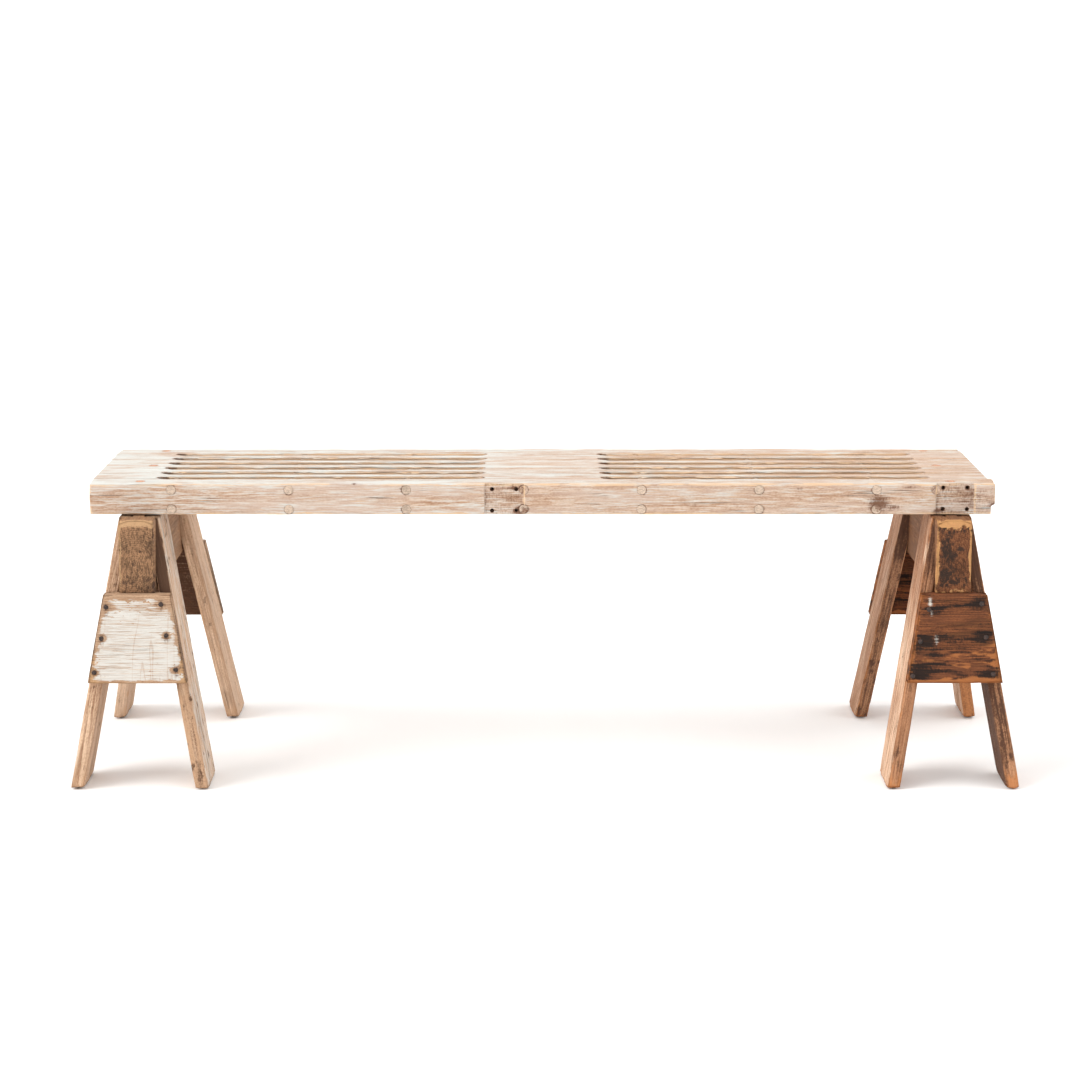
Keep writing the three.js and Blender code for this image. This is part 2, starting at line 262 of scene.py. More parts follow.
def placed(corners, size, local):
    """Local points in the world: each of the eight corners weighted by how near the point is."""
    share = local / size + np.array([0.0, 0.5, 0.5])
    world = np.zeros(local.shape)
    for i in (0, 1):
        for j in (0, 1):
            for k in (0, 1):
                side = np.array([i, j, k])
                weight = np.prod(np.where(side == 1, share, 1.0 - share), axis=-1)
                world += weight[..., None] * corners[i, j, k]
    return world

# %% [markdown]
# ## A board as one closed surface
#
# The whole board is one grid. Columns go round the section, a rectangle with rounded arrises. Rows
# start at the middle of one end, run out over the end grain, round the end's arris, along the
# board, and back in over the other end. The two middles are closed with a single point each, so
# the surface has no hole. Extra rows can be asked for where a sharp step will be cut.

# %% The section and the rows
ARC_STEPS = 4


def section(width, thick, radius, step):
    """A rounded rectangle as across and through offsets: four sides joined by quarter arcs."""
    half = np.array([width / 2 - radius, thick / 2 - radius])
    turn = np.linspace(0.0, math.pi / 2, ARC_STEPS + 1)
    arcs = []
    for corner, signs in enumerate([(1, 1), (-1, 1), (-1, -1), (1, -1)]):
        angle = turn + corner * math.pi / 2
        arcs.append(signs * half + radius * np.stack([np.cos(angle), np.sin(angle)], axis=-1))
    outline = []
    for corner, arc in enumerate(arcs):
        count = max(2, int(round(2 * half[corner % 2] / step)))
        share = (np.arange(1, count) / count)[:, None]
        outline += [arc, arc[-1] + share * (arcs[(corner + 1) % 4][0] - arc[-1])]
    return np.concatenate(outline).T


def board_rows(length, radius, step, end_rings, extra):
    """Where each row lies along the board, its share of the way in over an end, and its inset.

    Rows run out over one end, round its arris, along the board, and back in over the other end,
    which mirrors the first.
    """
    turn = np.linspace(math.pi / 2, 0.0, ARC_STEPS + 1)
    ring_in = np.linspace(1.0, 0.0, end_rings + 2)[1:-1]
    rings = np.stack([0 * ring_in, ring_in, 0 * ring_in + radius], axis=-1)
    arris = np.stack([radius * (1 - np.sin(turn)), 0 * turn, radius * (1 - np.cos(turn))], axis=-1)
    start = np.concatenate([rings, arris])
    finish = start[::-1] * (-1, 1, 1) + (length, 0, 0)
    side = np.linspace(radius, length - radius, max(2, int(round((length - 2 * radius) / step))))
    side = np.unique(np.concatenate([side, [a for a in extra if radius < a < length - radius]]))[1:-1]
    return np.concatenate([start, np.stack([side, 0 * side, 0 * side], axis=-1), finish]).T


def board_grid(size, radius, step, around, end_rings=8, extra=()):
    """Local points of a board, rows by columns: the section drawn in by each row's share."""
    length, width, thick = size
    outline = np.stack(section(width, thick, radius, around), axis=-1)
    along, rings, inset = board_rows(length, radius, step, end_rings, extra)
    shrink = (1 - inset[:, None] / (np.array([width, thick]) / 2)) * (1 - rings[:, None])
    drawn = outline[None] * shrink[:, None]
    return np.concatenate([np.broadcast_to(along[:, None, None], (*drawn.shape[:2], 1)), drawn], axis=-1)

# %% Grid helpers
def grid_normals(points):
    """Outward normals of a closed grid: the cross product of its column and row directions."""
    across = np.roll(points, -1, axis=1) - np.roll(points, 1, axis=1)
    along = np.gradient(points, axis=0)
    normal = np.cross(across, along)
    normal /= np.maximum(np.linalg.norm(normal, axis=-1, keepdims=True), 1e-12)
    outward = np.sum(normal * (points - points.mean((0, 1))))
    return normal if outward > 0 else -normal


def grid_faces(rows, columns):
    """Quads between neighbouring rows, and a fan of triangles to the point at each end."""
    row, column = np.meshgrid(np.arange(rows - 1), np.arange(columns), indexing="ij")
    after = (column + 1) % columns
    quads = np.stack(
        [row * columns + column, row * columns + after,
         (row + 1) * columns + after, (row + 1) * columns + column], axis=-1
    ).reshape(-1, 4)
    rim = np.arange(columns)
    first, last = rows * columns, rows * columns + 1
    start = np.stack([np.full(columns, first), (rim + 1) % columns, rim], axis=-1)
    base = (rows - 1) * columns
    end = np.stack([np.full(columns, last), base + rim, base + (rim + 1) % columns], axis=-1)
    return quads, np.concatenate([start, end])


def signed_volume(points, quads, triangles):
    """Six times the volume inside the faces: positive when they point outwards."""
    fans = np.concatenate([quads[:, [0, 1, 2]], quads[:, [0, 2, 3]], triangles])
    a, b, c = (points[fans[:, n]] for n in range(3))
    return float(np.sum(a * np.cross(b, c)))


def closed_mesh(name, grid):
    """A smooth closed mesh from a grid of rows and columns, with a point in the middle of each end."""
    rows, columns = grid.shape[:2]
    points = np.concatenate([grid.reshape(-1, 3), [grid[0].mean(0), grid[-1].mean(0)]])
    quads, triangles = grid_faces(rows, columns)
    if signed_volume(points - points.mean(0), quads, triangles) < 0:
        quads, triangles = quads[:, ::-1], triangles[:, ::-1]
    mesh = bpy.data.meshes.new(name)
    mesh.vertices.add(len(points))
    mesh.vertices.foreach_set("co", points.ravel())
    corners = np.concatenate([quads.ravel(), triangles.ravel()])
    starts = np.concatenate([np.arange(len(quads)) * 4, len(quads) * 4 + np.arange(len(triangles)) * 3])
    mesh.loops.add(len(corners))
    mesh.loops.foreach_set("vertex_index", corners.astype(np.int32))
    mesh.polygons.add(len(starts))
    mesh.polygons.foreach_set("loop_start", starts.astype(np.int32))
    mesh.polygons.foreach_set("use_smooth", np.ones(len(starts), dtype=bool))
    mesh.update(calc_edges=True)
    return mesh


def mesh_points(mesh):
    points = np.empty(len(mesh.vertices) * 3)
    mesh.vertices.foreach_get("co", points)
    return points.reshape(-1, 3)


def mesh_normals(mesh):
    normals = np.empty(len(mesh.vertices) * 3)
    mesh.vertex_normals.foreach_get("vector", normals)
    return normals.reshape(-1, 3)


def paint(mesh, place, marks):
    """Writes the place and the four marks (worn, stain, wash, end) of every point."""
    layer = mesh.attributes.new("place", "FLOAT_VECTOR", "POINT")
    layer.data.foreach_set("vector", place.astype(np.float32).ravel())
    layer = mesh.attributes.new("marks", "FLOAT_COLOR", "POINT")
    layer.data.foreach_set("color", np.clip(marks, 0.0, 1.0).astype(np.float32).ravel())


def cut_away(mesh, cutters):
    """The mesh less each cutter's solid, worked out by Blender's boolean and then made plain."""
    holder = bpy.data.objects.new("holder", mesh)
    bpy.context.scene.collection.objects.link(holder)
    for cutter in cutters:
        boolean = holder.modifiers.new("cut", "BOOLEAN")
        boolean.operation = "DIFFERENCE"
        boolean.solver = "MANIFOLD"
        boolean.object = cutter
    graph = bpy.context.evaluated_depsgraph_get()
    result = bpy.data.meshes.new_from_object(holder.evaluated_get(graph))
    result.name = mesh.name
    bpy.data.objects.remove(holder)
    result.polygons.foreach_set("use_smooth", np.ones(len(result.polygons), dtype=bool))
    return result


def show(name, mesh, material, slot, *nodes):
    """An object for a finished mesh that rides on the bench and stands for its CAD nodes."""
    mesh.materials.clear()
    mesh.materials.append(material)
    mesh.polygons.foreach_set("material_index", np.zeros(len(mesh.polygons), dtype=np.int32))
    piece = bpy.data.objects.new(name, mesh)
    bpy.context.scene.collection.objects.link(piece)
    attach(piece, BODY)
    if nodes:
        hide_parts(*nodes)
    return piece

# %% [markdown]
# ## Wear
#
# Timber wears first where it sticks out. Every point knows how far it is from each pair of faces:
# on a flat face only the nearest distance is zero, at an arris two are small, and at a corner all
# three. So the middle one of the three distances measures the arris and the sum of the two larger
# ones the corner. Wear always moves points inwards, so a piece never outgrows its board.

# %% Wear on a board
class Wear:
    """How worn a board is. Lengths are in metres."""

    def __init__(self, arris=1.2, chips=1.5, corner=2.0, ridges=0.3, sway=0.5):
        self.arris = arris * MM
        self.chips = chips * MM
        self.corner = corner * MM
        self.ridges = ridges * MM
        self.sway = sway * MM


# How far in from an arris and a corner the wear reaches.
ARRIS_REACH = 3.5 * MM
CORNER_REACH = 9.0 * MM
# Each seed starts its board's grain at another place, within this length and at this step.
GRAIN_LENGTH = 5.0
GRAIN_STEP = 0.731


def face_distances(local, size):
    """Distances to the nearest end, edge and face, on the last axis, none below zero."""
    along = np.minimum(local[..., 0], size[0] - local[..., 0])
    across = size[1] / 2 - np.abs(local[..., 1])
    through = size[2] / 2 - np.abs(local[..., 2])
    return np.maximum(np.stack([along, across, through], axis=-1), 0.0)


def arris_share(local, size):
    """How near an arris and a corner each point is, from 0 to 1."""
    ordered = np.sort(face_distances(local, size), axis=-1)
    arris = np.exp(-ordered[..., 1] / ARRIS_REACH)
    return arris, np.exp(-(ordered[..., 1] + ordered[..., 2]) / CORNER_REACH)


def unevenness(local, seed):
    """A smooth unevenness, and sparse bites out of it, both from 0 to 1."""
    uneven = smooth_noise(local, (0.03, 0.02, 0.02), seed + 23)
    lumps = rough_noise(local, (0.022, 0.011, 0.011), seed + 37)
    return uneven, smoothstep(0.62, 0.8, lumps)


def worn_depth(local, size, wear, seed, bare):
    """Inward depth: ridges along the grain, a slow sway, soft arrises, bites and corners.

    bare is 0 where the board is shut in between its neighbours, and 1 where it lies open.
    """
    arris, corner = arris_share(local, size)
    uneven, bites = unevenness(local, seed)
    ridges = rough_noise(local, (0.06, 0.0045, 0.0045), seed)
    sway = smooth_noise(local, (0.16, 0.05, 0.05), seed + 11)
    depth = wear.ridges * ridges + wear.sway * sway * (0.25 + 0.75 * bare)
    depth += bare * arris * (wear.arris * (0.35 + 1.3 * uneven) + wear.chips * bites)
    return depth + bare * corner * wear.corner * (0.6 + 0.8 * uneven)


def worn_mark(local, size, seed):
    """How rubbed a point is: near an arris, more where it is uneven or bitten."""
    arris, corner = arris_share(local, size)
    uneven, bites = unevenness(local, seed)
    return arris * (0.3 + 0.8 * uneven + bites) + 0.4 * corner


def end_mark(local, size):
    """1 on end grain: the end is nearer than the other faces."""
    distance = face_distances(local, size)
    return smoothstep(-0.8 * MM, 0.8 * MM, np.minimum(distance[..., 1], distance[..., 2]) - distance[..., 0])

# %% A board, from its node to a finished piece
class Board:
    """Where a board lies: its eight corners, its size, and the way from the world back to it."""

    def __init__(self, node, grain, leaning=False):
        self.node = node
        self.corners = turned(leaning_corners(node) if leaning else box_corners(node), grain)
        ways = board_ways(self.corners)
        self.size = np.linalg.norm(ways, axis=-1)
        self.turn = np.linalg.inv(ways / self.size[:, None])
        self.start = np.take(self.corners, 0, axis=0).mean((0, 1))

    def world(self, local):
        return placed(self.corners, self.size, local)

    def local(self, world):
        return (world - self.start) @ self.turn


def worn_board(board, material, slot, seed, wear=None, radius=1.5, step=3.0, around=2.0, end_rings=8,
               extra=(), pith=(20, 60), bare=None, shape=None, marks=None, cutters=()):
    """Builds the piece that stands for a board. Lengths are in millimetres.

    bare says where the board lies open, shape moves the local points, and marks(world, normals)
    gives the extra worn, stain and wash. The marks are worked out last, from where each point
    ended up.
    """
    size = board.size
    grid = board_grid(size, radius * MM, step * MM, around * MM, end_rings, extra)
    open_share = bare(board.world(grid)) if bare else 1.0
    depth = worn_depth(grid, size, wear or Wear(), seed, open_share)
    moved = grid - grid_normals(grid) * depth[..., None]
    if shape:
        moved = shape(moved, size)
    mesh = closed_mesh(board.node + "_worn", board.world(moved))
    if cutters:
        mesh = cut_away(mesh, cutters)
    world = mesh_points(mesh)
    local = board.local(world)
    rubbed, stain, wash = marks(world, mesh_normals(mesh)) if marks else (0.0, 0.0, 0.0)
    worn = worn_mark(local, size, seed) * (bare(world) if bare else 1.0) + rubbed
    place = local + np.array([seed * GRAIN_STEP % GRAIN_LENGTH, pith[0] * MM, pith[1] * MM])
    painted = np.stack(np.broadcast_arrays(worn, stain, wash, end_mark(local, size)), axis=-1)
    paint(mesh, place, painted)
    return show(board.node + "_worn", mesh, material, slot, board.node)

# %% [markdown]
# ## Shader vocabulary
#
# The wood is a solid texture: it reads each board's own place, so rings, streaks and checks run
# through the board and meet at its arrises, as in real timber. These helpers keep each finish to a
# few readable lines.

# %% Node helpers
def socket_in(tree, socket, value):
    """Links a socket, or sets a plain value."""
    if isinstance(value, bpy.types.NodeSocket):
        tree.links.new(value, socket)
    else:
        socket.default_value = value


def calc(tree, operation, first, second=0.0, clamp=False):
    node = tree.nodes.new("ShaderNodeMath")
    node.operation = operation
    node.use_clamp = clamp
    socket_in(tree, node.inputs[0], first)
    socket_in(tree, node.inputs[1], second)
    return node.outputs[0]


def times(tree, first, second, clamp=False):
    return calc(tree, "MULTIPLY", first, second, clamp)


def plus(tree, total, part, weight=1.0, middle=0.0, clamp=False):
    """The total plus weight times how far a part is over its middle."""
    over = calc(tree, "SUBTRACT", part, middle) if middle else part
    return calc(tree, "ADD", total, times(tree, over, weight), clamp)


def mixed(tree, share, first, second, mode="MIX"):
    """A colour between two, by share."""
    node = tree.nodes.new("ShaderNodeMix")
    node.data_type = "RGBA"
    node.blend_type = mode
    socket_in(tree, node.inputs[0], share)
    socket_in(tree, node.inputs[6], (*first, 1.0) if isinstance(first, tuple) else first)
    socket_in(tree, node.inputs[7], (*second, 1.0) if isinstance(second, tuple) else second)
    return node.outputs[2]


def stretched(tree, place, scale):
    """The place multiplied by a scale for along, across and through."""
    node = tree.nodes.new("ShaderNodeVectorMath")
    node.operation = "MULTIPLY"
    socket_in(tree, node.inputs[0], place)
    node.inputs[1].default_value = scale
    return node.outputs[0]


def noise(tree, place, scale, detail=2.0, roughness=0.55):
    """Blender noise on the stretched place, about 0.5 in the middle."""
    node = tree.nodes.new("ShaderNodeTexNoise")
    node.inputs["Scale"].default_value = 1.0
    node.inputs["Detail"].default_value = detail
    node.inputs["Roughness"].default_value = roughness
    tree.links.new(stretched(tree, place, scale), node.inputs["Vector"])
    return node.outputs["Fac"]


def rise(tree, value, low, high):
    """0 below low, 1 above high, smooth between. Falls instead when low is the larger."""
    node = tree.nodes.new("ShaderNodeMapRange")
    node.interpolation_type = "SMOOTHSTEP"
    socket_in(tree, node.inputs["Value"], value)
    flip = low > high
    node.inputs["From Min"].default_value = high if flip else low
    node.inputs["From Max"].default_value = low if flip else high
    node.inputs["To Min"].default_value = 1.0 if flip else 0.0
    node.inputs["To Max"].default_value = 0.0 if flip else 1.0
    return node.outputs["Result"]


def attribute(tree, name):
    node = tree.nodes.new("ShaderNodeAttribute")
    node.attribute_name = name
    return node


def bumped(tree, height, distance):
    """A normal tipped by a height in metres times distance."""
    node = tree.nodes.new("ShaderNodeBump")
    node.inputs["Strength"].default_value = 1.0
    node.inputs["Distance"].default_value = distance
    tree.links.new(height, node.inputs["Height"])
    return node.outputs["Normal"]


def new_material(name):
    material = bpy.data.materials.new(name)
    material.use_nodes = True
    return material, material.node_tree, material.node_tree.nodes["Principled BSDF"]

# %% [markdown]
# ## Wood
# In a few places the worn, stain and wash marks also carry painted highlights, painted shade and painted
# light.
#
# A tree grows in rings round its pith, so the distance from the pith, bent a little by noise,
# gives the ring pattern: early wood is wide and pale, late wood thin and dark. Over it lie fibre
# streaks a millimetre wide and very long, broad bands of weathering, and dark checks that open
# along the grain. The four marks painted on the mesh then say where arrises are rubbed bright,
# where iron or oil has stained, where lime wash or paint is left, and where the end grain shows.
# A flat texture laid on each face would be quicker, but it wouldn't meet at the arrises.

# %% Marks and rings
def wood_marks(tree):
    """The place and the four painted marks: worn, stain, wash and end."""
    place = attribute(tree, "place").outputs["Vector"]
    marks = attribute(tree, "marks")
    split = tree.nodes.new("ShaderNodeSeparateColor")
    tree.links.new(marks.outputs["Color"], split.inputs[0])
    worn, stain, wash = (split.outputs[n] for n in range(3))
    return place, worn, stain, wash, marks.outputs["Alpha"]


def ring_pattern(tree, place, ring_width, wander):
    """Late wood share: a saw tooth of the bent distance from the pith."""
    bend = tree.nodes.new("ShaderNodeTexNoise")
    bend.inputs["Scale"].default_value = 1.0
    bend.inputs["Detail"].default_value = 1.0
    tree.links.new(stretched(tree, place, (2.2, 14.0, 14.0)), bend.inputs["Vector"])
    centred = tree.nodes.new("ShaderNodeVectorMath")
    centred.operation = "SUBTRACT"
    tree.links.new(bend.outputs["Color"], centred.inputs[0])
    centred.inputs[1].default_value = (0.5, 0.5, 0.5)
    pushed = tree.nodes.new("ShaderNodeVectorMath")
    pushed.operation = "MULTIPLY_ADD"
    tree.links.new(centred.outputs[0], pushed.inputs[0])
    pushed.inputs[1].default_value = (0.0, wander, wander)
    tree.links.new(stretched(tree, place, (0.0, 1.0, 1.0)), pushed.inputs[2])
    length = tree.nodes.new("ShaderNodeVectorMath")
    length.operation = "LENGTH"
    tree.links.new(pushed.outputs[0], length.inputs[0])
    ring = calc(tree, "FRACT", calc(tree, "DIVIDE", length.outputs["Value"], ring_width))
    return times(tree, rise(tree, ring, 0.35, 0.86), rise(tree, ring, 1.0, 0.9))

# %% The layers of a wood finish
def paint_coat(tree, place, wash, grain):
    """Old paint's cover: gone where the mark is low, and crazed along and across the grain."""
    along = noise(tree, place, (26.0, 640.0, 640.0), 2.0)
    split = noise(tree, place, (34.0, 3.5, 3.5), 2.0)
    wobble = calc(tree, "ABSOLUTE", calc(tree, "SUBTRACT", split, 0.5))
    chips = noise(tree, place, (95.0, 190.0, 190.0), 3.0, 0.65)
    cover = plus(tree, wash, grain.streak, 0.8, 0.5)
    cover = plus(tree, cover, grain.cloud, 0.5, 0.5)
    cover = plus(tree, cover, grain.fibre, -1.0, 0.5)
    cover = plus(tree, cover, rise(tree, chips, 0.56, 0.66), -0.4)
    crazed = times(tree, rise(tree, along, 0.52, 0.61), 0.52)
    crazed = plus(tree, crazed, rise(tree, wobble, 0.009, 0.002), 0.3)
    crazed = plus(tree, crazed, rise(tree, grain.fibre, 0.48, 0.64), 0.3)
    return times(tree, rise(tree, cover, 0.34, 0.62), calc(tree, "SUBTRACT", 0.97, crazed), clamp=True)


class Grain:
    """The patterns that run through a board. Each is about 0.5 in the middle, but late is a share."""

    def __init__(self, tree, place, ring_width, wander, fibre_length):
        self.late = ring_pattern(tree, place, ring_width, wander)
        self.fibre = noise(tree, place, (30.0 / fibre_length, 520.0, 520.0), 4.0, 0.7)
        self.streak = noise(tree, place, (13.0 / fibre_length, 150.0, 150.0), 3.0, 0.62)
        self.band = noise(tree, place, (4.0, 42.0, 42.0), 2.0)
        self.cloud = noise(tree, place, (12.0, 30.0, 30.0), 3.0)
        self.speck = noise(tree, place, (330.0, 620.0, 620.0), 2.0, 0.6)
        self.check = noise(tree, place, (9.0, 320.0, 320.0), 2.0, 0.5)
        self.pore = noise(tree, place, (420.0, 190.0, 470.0), 3.0, 0.7)


def long_grain(tree, grain, pale, dark, weathered, worn_tone, ring_share, warm):
    """The wood's own colour: fibres, streaks, specks and rings, then grey bands and a warm glow."""
    tone = times(tree, rise(tree, grain.fibre, 0.42, 0.58), 0.55)
    tone = plus(tree, tone, rise(tree, grain.streak, 0.42, 0.62), 0.2)
    tone = plus(tree, tone, rise(tree, grain.speck, 0.46, 0.62), 0.3)
    tone = plus(tree, tone, grain.late, ring_share, clamp=True)
    colour = mixed(tree, tone, pale, dark)
    greyed = plus(tree, grain.band, grain.fibre, 0.8, 0.5)
    colour = mixed(tree, times(tree, rise(tree, greyed, 0.42, 0.66), 0.6), colour, weathered)
    glow = rise(tree, plus(tree, grain.streak, grain.cloud, 0.8, 0.5), 0.56, 0.74)
    glow = times(tree, glow, rise(tree, grain.fibre, 0.42, 0.6))
    return mixed(tree, times(tree, glow, warm), colour, worn_tone)


def open_checks(tree, grain, end):
    """The share of a point that is an open crack along the grain."""
    check = times(tree, rise(tree, grain.check, 0.655, 0.73), rise(tree, grain.cloud, 0.42, 0.6))
    return times(tree, check, calc(tree, "SUBTRACT", 1.0, end))


def end_grain(tree, grain, end_tone, pore_share):
    """The end grain's colour: dark pores, rings and clouds on the end's own tone."""
    dark = times(tree, rise(tree, grain.pore, 0.44, 0.56), pore_share)
    dark = plus(tree, dark, grain.late, 0.28)
    dark = plus(tree, dark, rise(tree, grain.cloud, 0.42, 0.65), 0.6 * pore_share)
    return mixed(tree, dark, end_tone, darker(end_tone, 0.3))


def lime_coat(tree, wash, grain):
    """Lime wash left in the hollows between the fibres, and none where the mark is nothing. The wash mark
    also carries painted light on some leg faces.
    """
    lime = plus(tree, wash, grain.fibre, -2.4, 0.5)
    lime = plus(tree, lime, grain.cloud, 0.8, 0.5)
    return times(tree, rise(tree, lime, 0.18, 0.85), rise(tree, wash, 0.0, 0.12))


def soaked_in(tree, stain, grain, grime):
    """Iron and oil stains, and painted shade where the stain mark carries it, broken up by the fibres and
    pores, and sooty clouds of grime.
    """
    soot = rise(tree, plus(tree, grain.cloud, grain.streak, 0.5, 0.5), 0.52, 0.72)
    grit = plus(tree, grain.fibre, grain.pore, 1.3, 0.5)
    soaked = plus(tree, stain, grain.streak, 0.9, 0.5)
    soaked = plus(tree, soaked, grit, 0.9, 0.5)
    soaked = times(tree, rise(tree, soaked, 0.1, 0.8), rise(tree, stain, 0.0, 0.15))
    return calc(tree, "MAXIMUM", soaked, times(tree, soot, grime))


def darker(tone, share):
    return tuple(share * part for part in tone)

# %% Wood finish
def wood(name, pale, dark, weathered, worn_tone, stain_tone, wash_tone, end_tone,
         ring_width=3.4 * MM, ring_share=0.25, check_share=0.6, wander=0.02, grime=0.0, warm=0.35,
         fibre_length=1.0, pore_share=0.55, painted=False):
    """A weathered softwood finish. The tones are linear colours, and the shares run from 0 to 1."""
    material, tree, shader = new_material(name)
    place, worn, stain, wash, end = wood_marks(tree)
    grain = Grain(tree, place, ring_width, wander, fibre_length)
    colour = long_grain(tree, grain, pale, dark, weathered, worn_tone, ring_share, warm)
    check = open_checks(tree, grain, end)
    colour = mixed(tree, times(tree, check, check_share), colour, darker(dark, 0.25))
    colour = mixed(tree, end, colour, end_grain(tree, grain, end_tone, pore_share))
    # Worn mark: rubbed arrises and scuffs, and painted highlights in a few places.
    rubbed = rise(tree, plus(tree, worn, grain.fibre, 1.1, 0.5), 0.4, 0.75)
    colour = mixed(tree, times(tree, rubbed, 0.85), colour, worn_tone)
    coat = paint_coat(tree, place, wash, grain) if painted else lime_coat(tree, wash, grain)
    colour = mixed(tree, coat, colour, wash_tone)
    # Stain mark: real stains, and painted shade in a few places.
    colour = mixed(tree, times(tree, soaked_in(tree, stain, grain, grime), 0.93), colour, stain_tone)
    tree.links.new(colour, shader.inputs["Base Color"])

    height = times(tree, grain.fibre, -0.9)
    height = plus(tree, height, grain.late, 0.3)
    height = plus(tree, height, grain.streak, -0.7)
    height = plus(tree, height, check, -0.5 if painted else -1.6)
    height = plus(tree, height, times(tree, grain.pore, end), -1.6)
    tree.links.new(bumped(tree, height, 1.0 * MM), shader.inputs["Normal"])
    shader.inputs["Roughness"].default_value = 0.82
    shader.inputs["Specular IOR Level"].default_value = 0.22
    print("wood finish:", name)
    return material

# %% [markdown]
# ## The bench's own finishes
#
# Nine woods are seen on the real bench: the limed deck, its pale dowel ends and reddish plugs, tan
# legs and a darker tan beam on the left, redder legs and a brown beam on the right, a gusset
# painted white and one nearly black with oil. Each could have a shader of its own, but then a
# change to the grain would be made nine times. One wood with nine sets of tones keeps them kin.

# %% Nine woods
DECK_WOOD = wood(
    "deck_wood_limed", pale=(0.625, 0.465, 0.352), dark=(0.35, 0.195, 0.115), weathered=(0.57, 0.45, 0.38),
    worn_tone=(0.70, 0.485, 0.305), stain_tone=(0.15, 0.07, 0.04), wash_tone=(0.61, 0.61, 0.575),
    end_tone=(0.50, 0.40, 0.31), ring_share=0.12, warm=0.4,
)
TAN_WOOD = wood(
    "tan_leg_wood_bare", pale=(0.72, 0.50, 0.34), dark=(0.30, 0.16, 0.09), weathered=(0.58, 0.41, 0.295),
    worn_tone=(0.49, 0.295, 0.175), stain_tone=(0.075, 0.035, 0.02), wash_tone=(0.62, 0.56, 0.49),
    end_tone=(0.36, 0.22, 0.13), grime=0.3, fibre_length=1.5,
)
TAN_BEAM_WOOD = wood(
    "tan_beam_wood_bare", pale=(0.40, 0.225, 0.12), dark=(0.18, 0.09, 0.045), weathered=(0.30, 0.18, 0.11),
    worn_tone=(0.56, 0.34, 0.18), stain_tone=(0.05, 0.026, 0.018), wash_tone=(0.6, 0.55, 0.48),
    end_tone=(0.37, 0.20, 0.105), ring_width=3.0 * MM, wander=0.012, grime=0.4, pore_share=0.6,
)
# Its wash tone is mostly painted light: it lightens the left-facing sides of the right-hand legs.
BROWN_WOOD = wood(
    "brown_leg_wood_bare", pale=(0.50, 0.25, 0.13), dark=(0.20, 0.08, 0.036), weathered=(0.40, 0.21, 0.12),
    worn_tone=(0.50, 0.20, 0.075), stain_tone=(0.075, 0.034, 0.02), wash_tone=(0.78, 0.56, 0.40),
    end_tone=(0.26, 0.12, 0.06), grime=0.3, fibre_length=1.6,
)
BROWN_BEAM_WOOD = wood(
    "brown_beam_wood_bare", pale=(0.30, 0.14, 0.062), dark=(0.12, 0.048, 0.022),
    weathered=(0.20, 0.10, 0.055), worn_tone=(0.62, 0.32, 0.13), stain_tone=(0.030, 0.018, 0.013),
    wash_tone=(0.6, 0.55, 0.5), end_tone=(0.235, 0.088, 0.037), ring_width=2.6 * MM, wander=0.012,
    grime=0.3, pore_share=0.6,
)
DARK_WOOD = wood(
    "dark_gusset_wood", pale=(0.25, 0.082, 0.030), dark=(0.036, 0.014, 0.007), weathered=(0.15, 0.052, 0.023),
    worn_tone=(0.38, 0.135, 0.042), stain_tone=(0.010, 0.007, 0.006), wash_tone=(0.60, 0.56, 0.50),
    end_tone=(0.14, 0.06, 0.03), check_share=1.0, grime=0.6, warm=0.8, fibre_length=1.2,
)
PAINTED_WOOD = wood(
    "white_painted_wood", pale=(0.54, 0.36, 0.23), dark=(0.28, 0.15, 0.085), weathered=(0.42, 0.28, 0.185),
    worn_tone=(0.54, 0.32, 0.165), stain_tone=(0.10, 0.045, 0.026), wash_tone=(0.635, 0.61, 0.565),
    end_tone=(0.30, 0.18, 0.11), painted=True,
)
DOWEL_WOOD = wood(
    "dowel_end_wood", pale=(0.50, 0.36, 0.26), dark=(0.30, 0.19, 0.12), weathered=(0.42, 0.32, 0.25),
    worn_tone=(0.60, 0.40, 0.25), stain_tone=(0.2, 0.1, 0.06), wash_tone=(0.8, 0.76, 0.7),
    end_tone=(0.73, 0.565, 0.44), ring_width=2.0 * MM, ring_share=0.1, pore_share=0.3,
)
PLUG_WOOD = wood(
    "reddish_plug_wood", pale=(0.50, 0.25, 0.15), dark=(0.32, 0.13, 0.075), weathered=(0.46, 0.30, 0.22),
    worn_tone=(0.5, 0.3, 0.2), stain_tone=(0.2, 0.1, 0.06), wash_tone=(0.70, 0.47, 0.32),
    end_tone=(0.68, 0.37, 0.24), ring_width=2.0 * MM, ring_share=0.1, pore_share=0.3,
)

# %% [markdown]
# ## Iron
#
# The nails and the screws are old plain iron, dark brown with scale. Only their heads show, a few
# millimetres across, so two noises are enough: one for rust, one for grit.

# %% Iron finish
def iron(name):
    """Old iron: dark brown scale over grey metal, broken up by fine noise."""
    material, tree, shader = new_material(name)
    place = attribute(tree, "place").outputs["Vector"]
    coordinates = tree.nodes.new("ShaderNodeTexCoord").outputs["Object"]
    rust = noise(tree, coordinates, (420.0, 420.0, 420.0), 3.0, 0.6)
    grit = noise(tree, place, (1500.0, 1500.0, 1500.0), 2.0)
    colour = mixed(tree, rise(tree, rust, 0.4, 0.62), (0.018, 0.012, 0.010), (0.055, 0.024, 0.015))
    tree.links.new(colour, shader.inputs["Base Color"])
    tree.links.new(times(tree, rise(tree, rust, 0.5, 0.35), 0.35), shader.inputs["Metallic"])
    tree.links.new(calc(tree, "ADD", times(tree, rust, 0.4), 0.35), shader.inputs["Roughness"])
    tree.links.new(bumped(tree, plus(tree, rust, grit, 0.4), 0.3 * MM), shader.inputs["Normal"])
    return material


IRON = iron("old_iron")
print("iron finish:", IRON.name)

# %% [markdown]
# ## Round pieces
#
# Dowels, plugs, nails and the bores they sit in are all turned: a profile of distance along an
# axis and radius, carried once round. The profile's ends are closed with a single point.

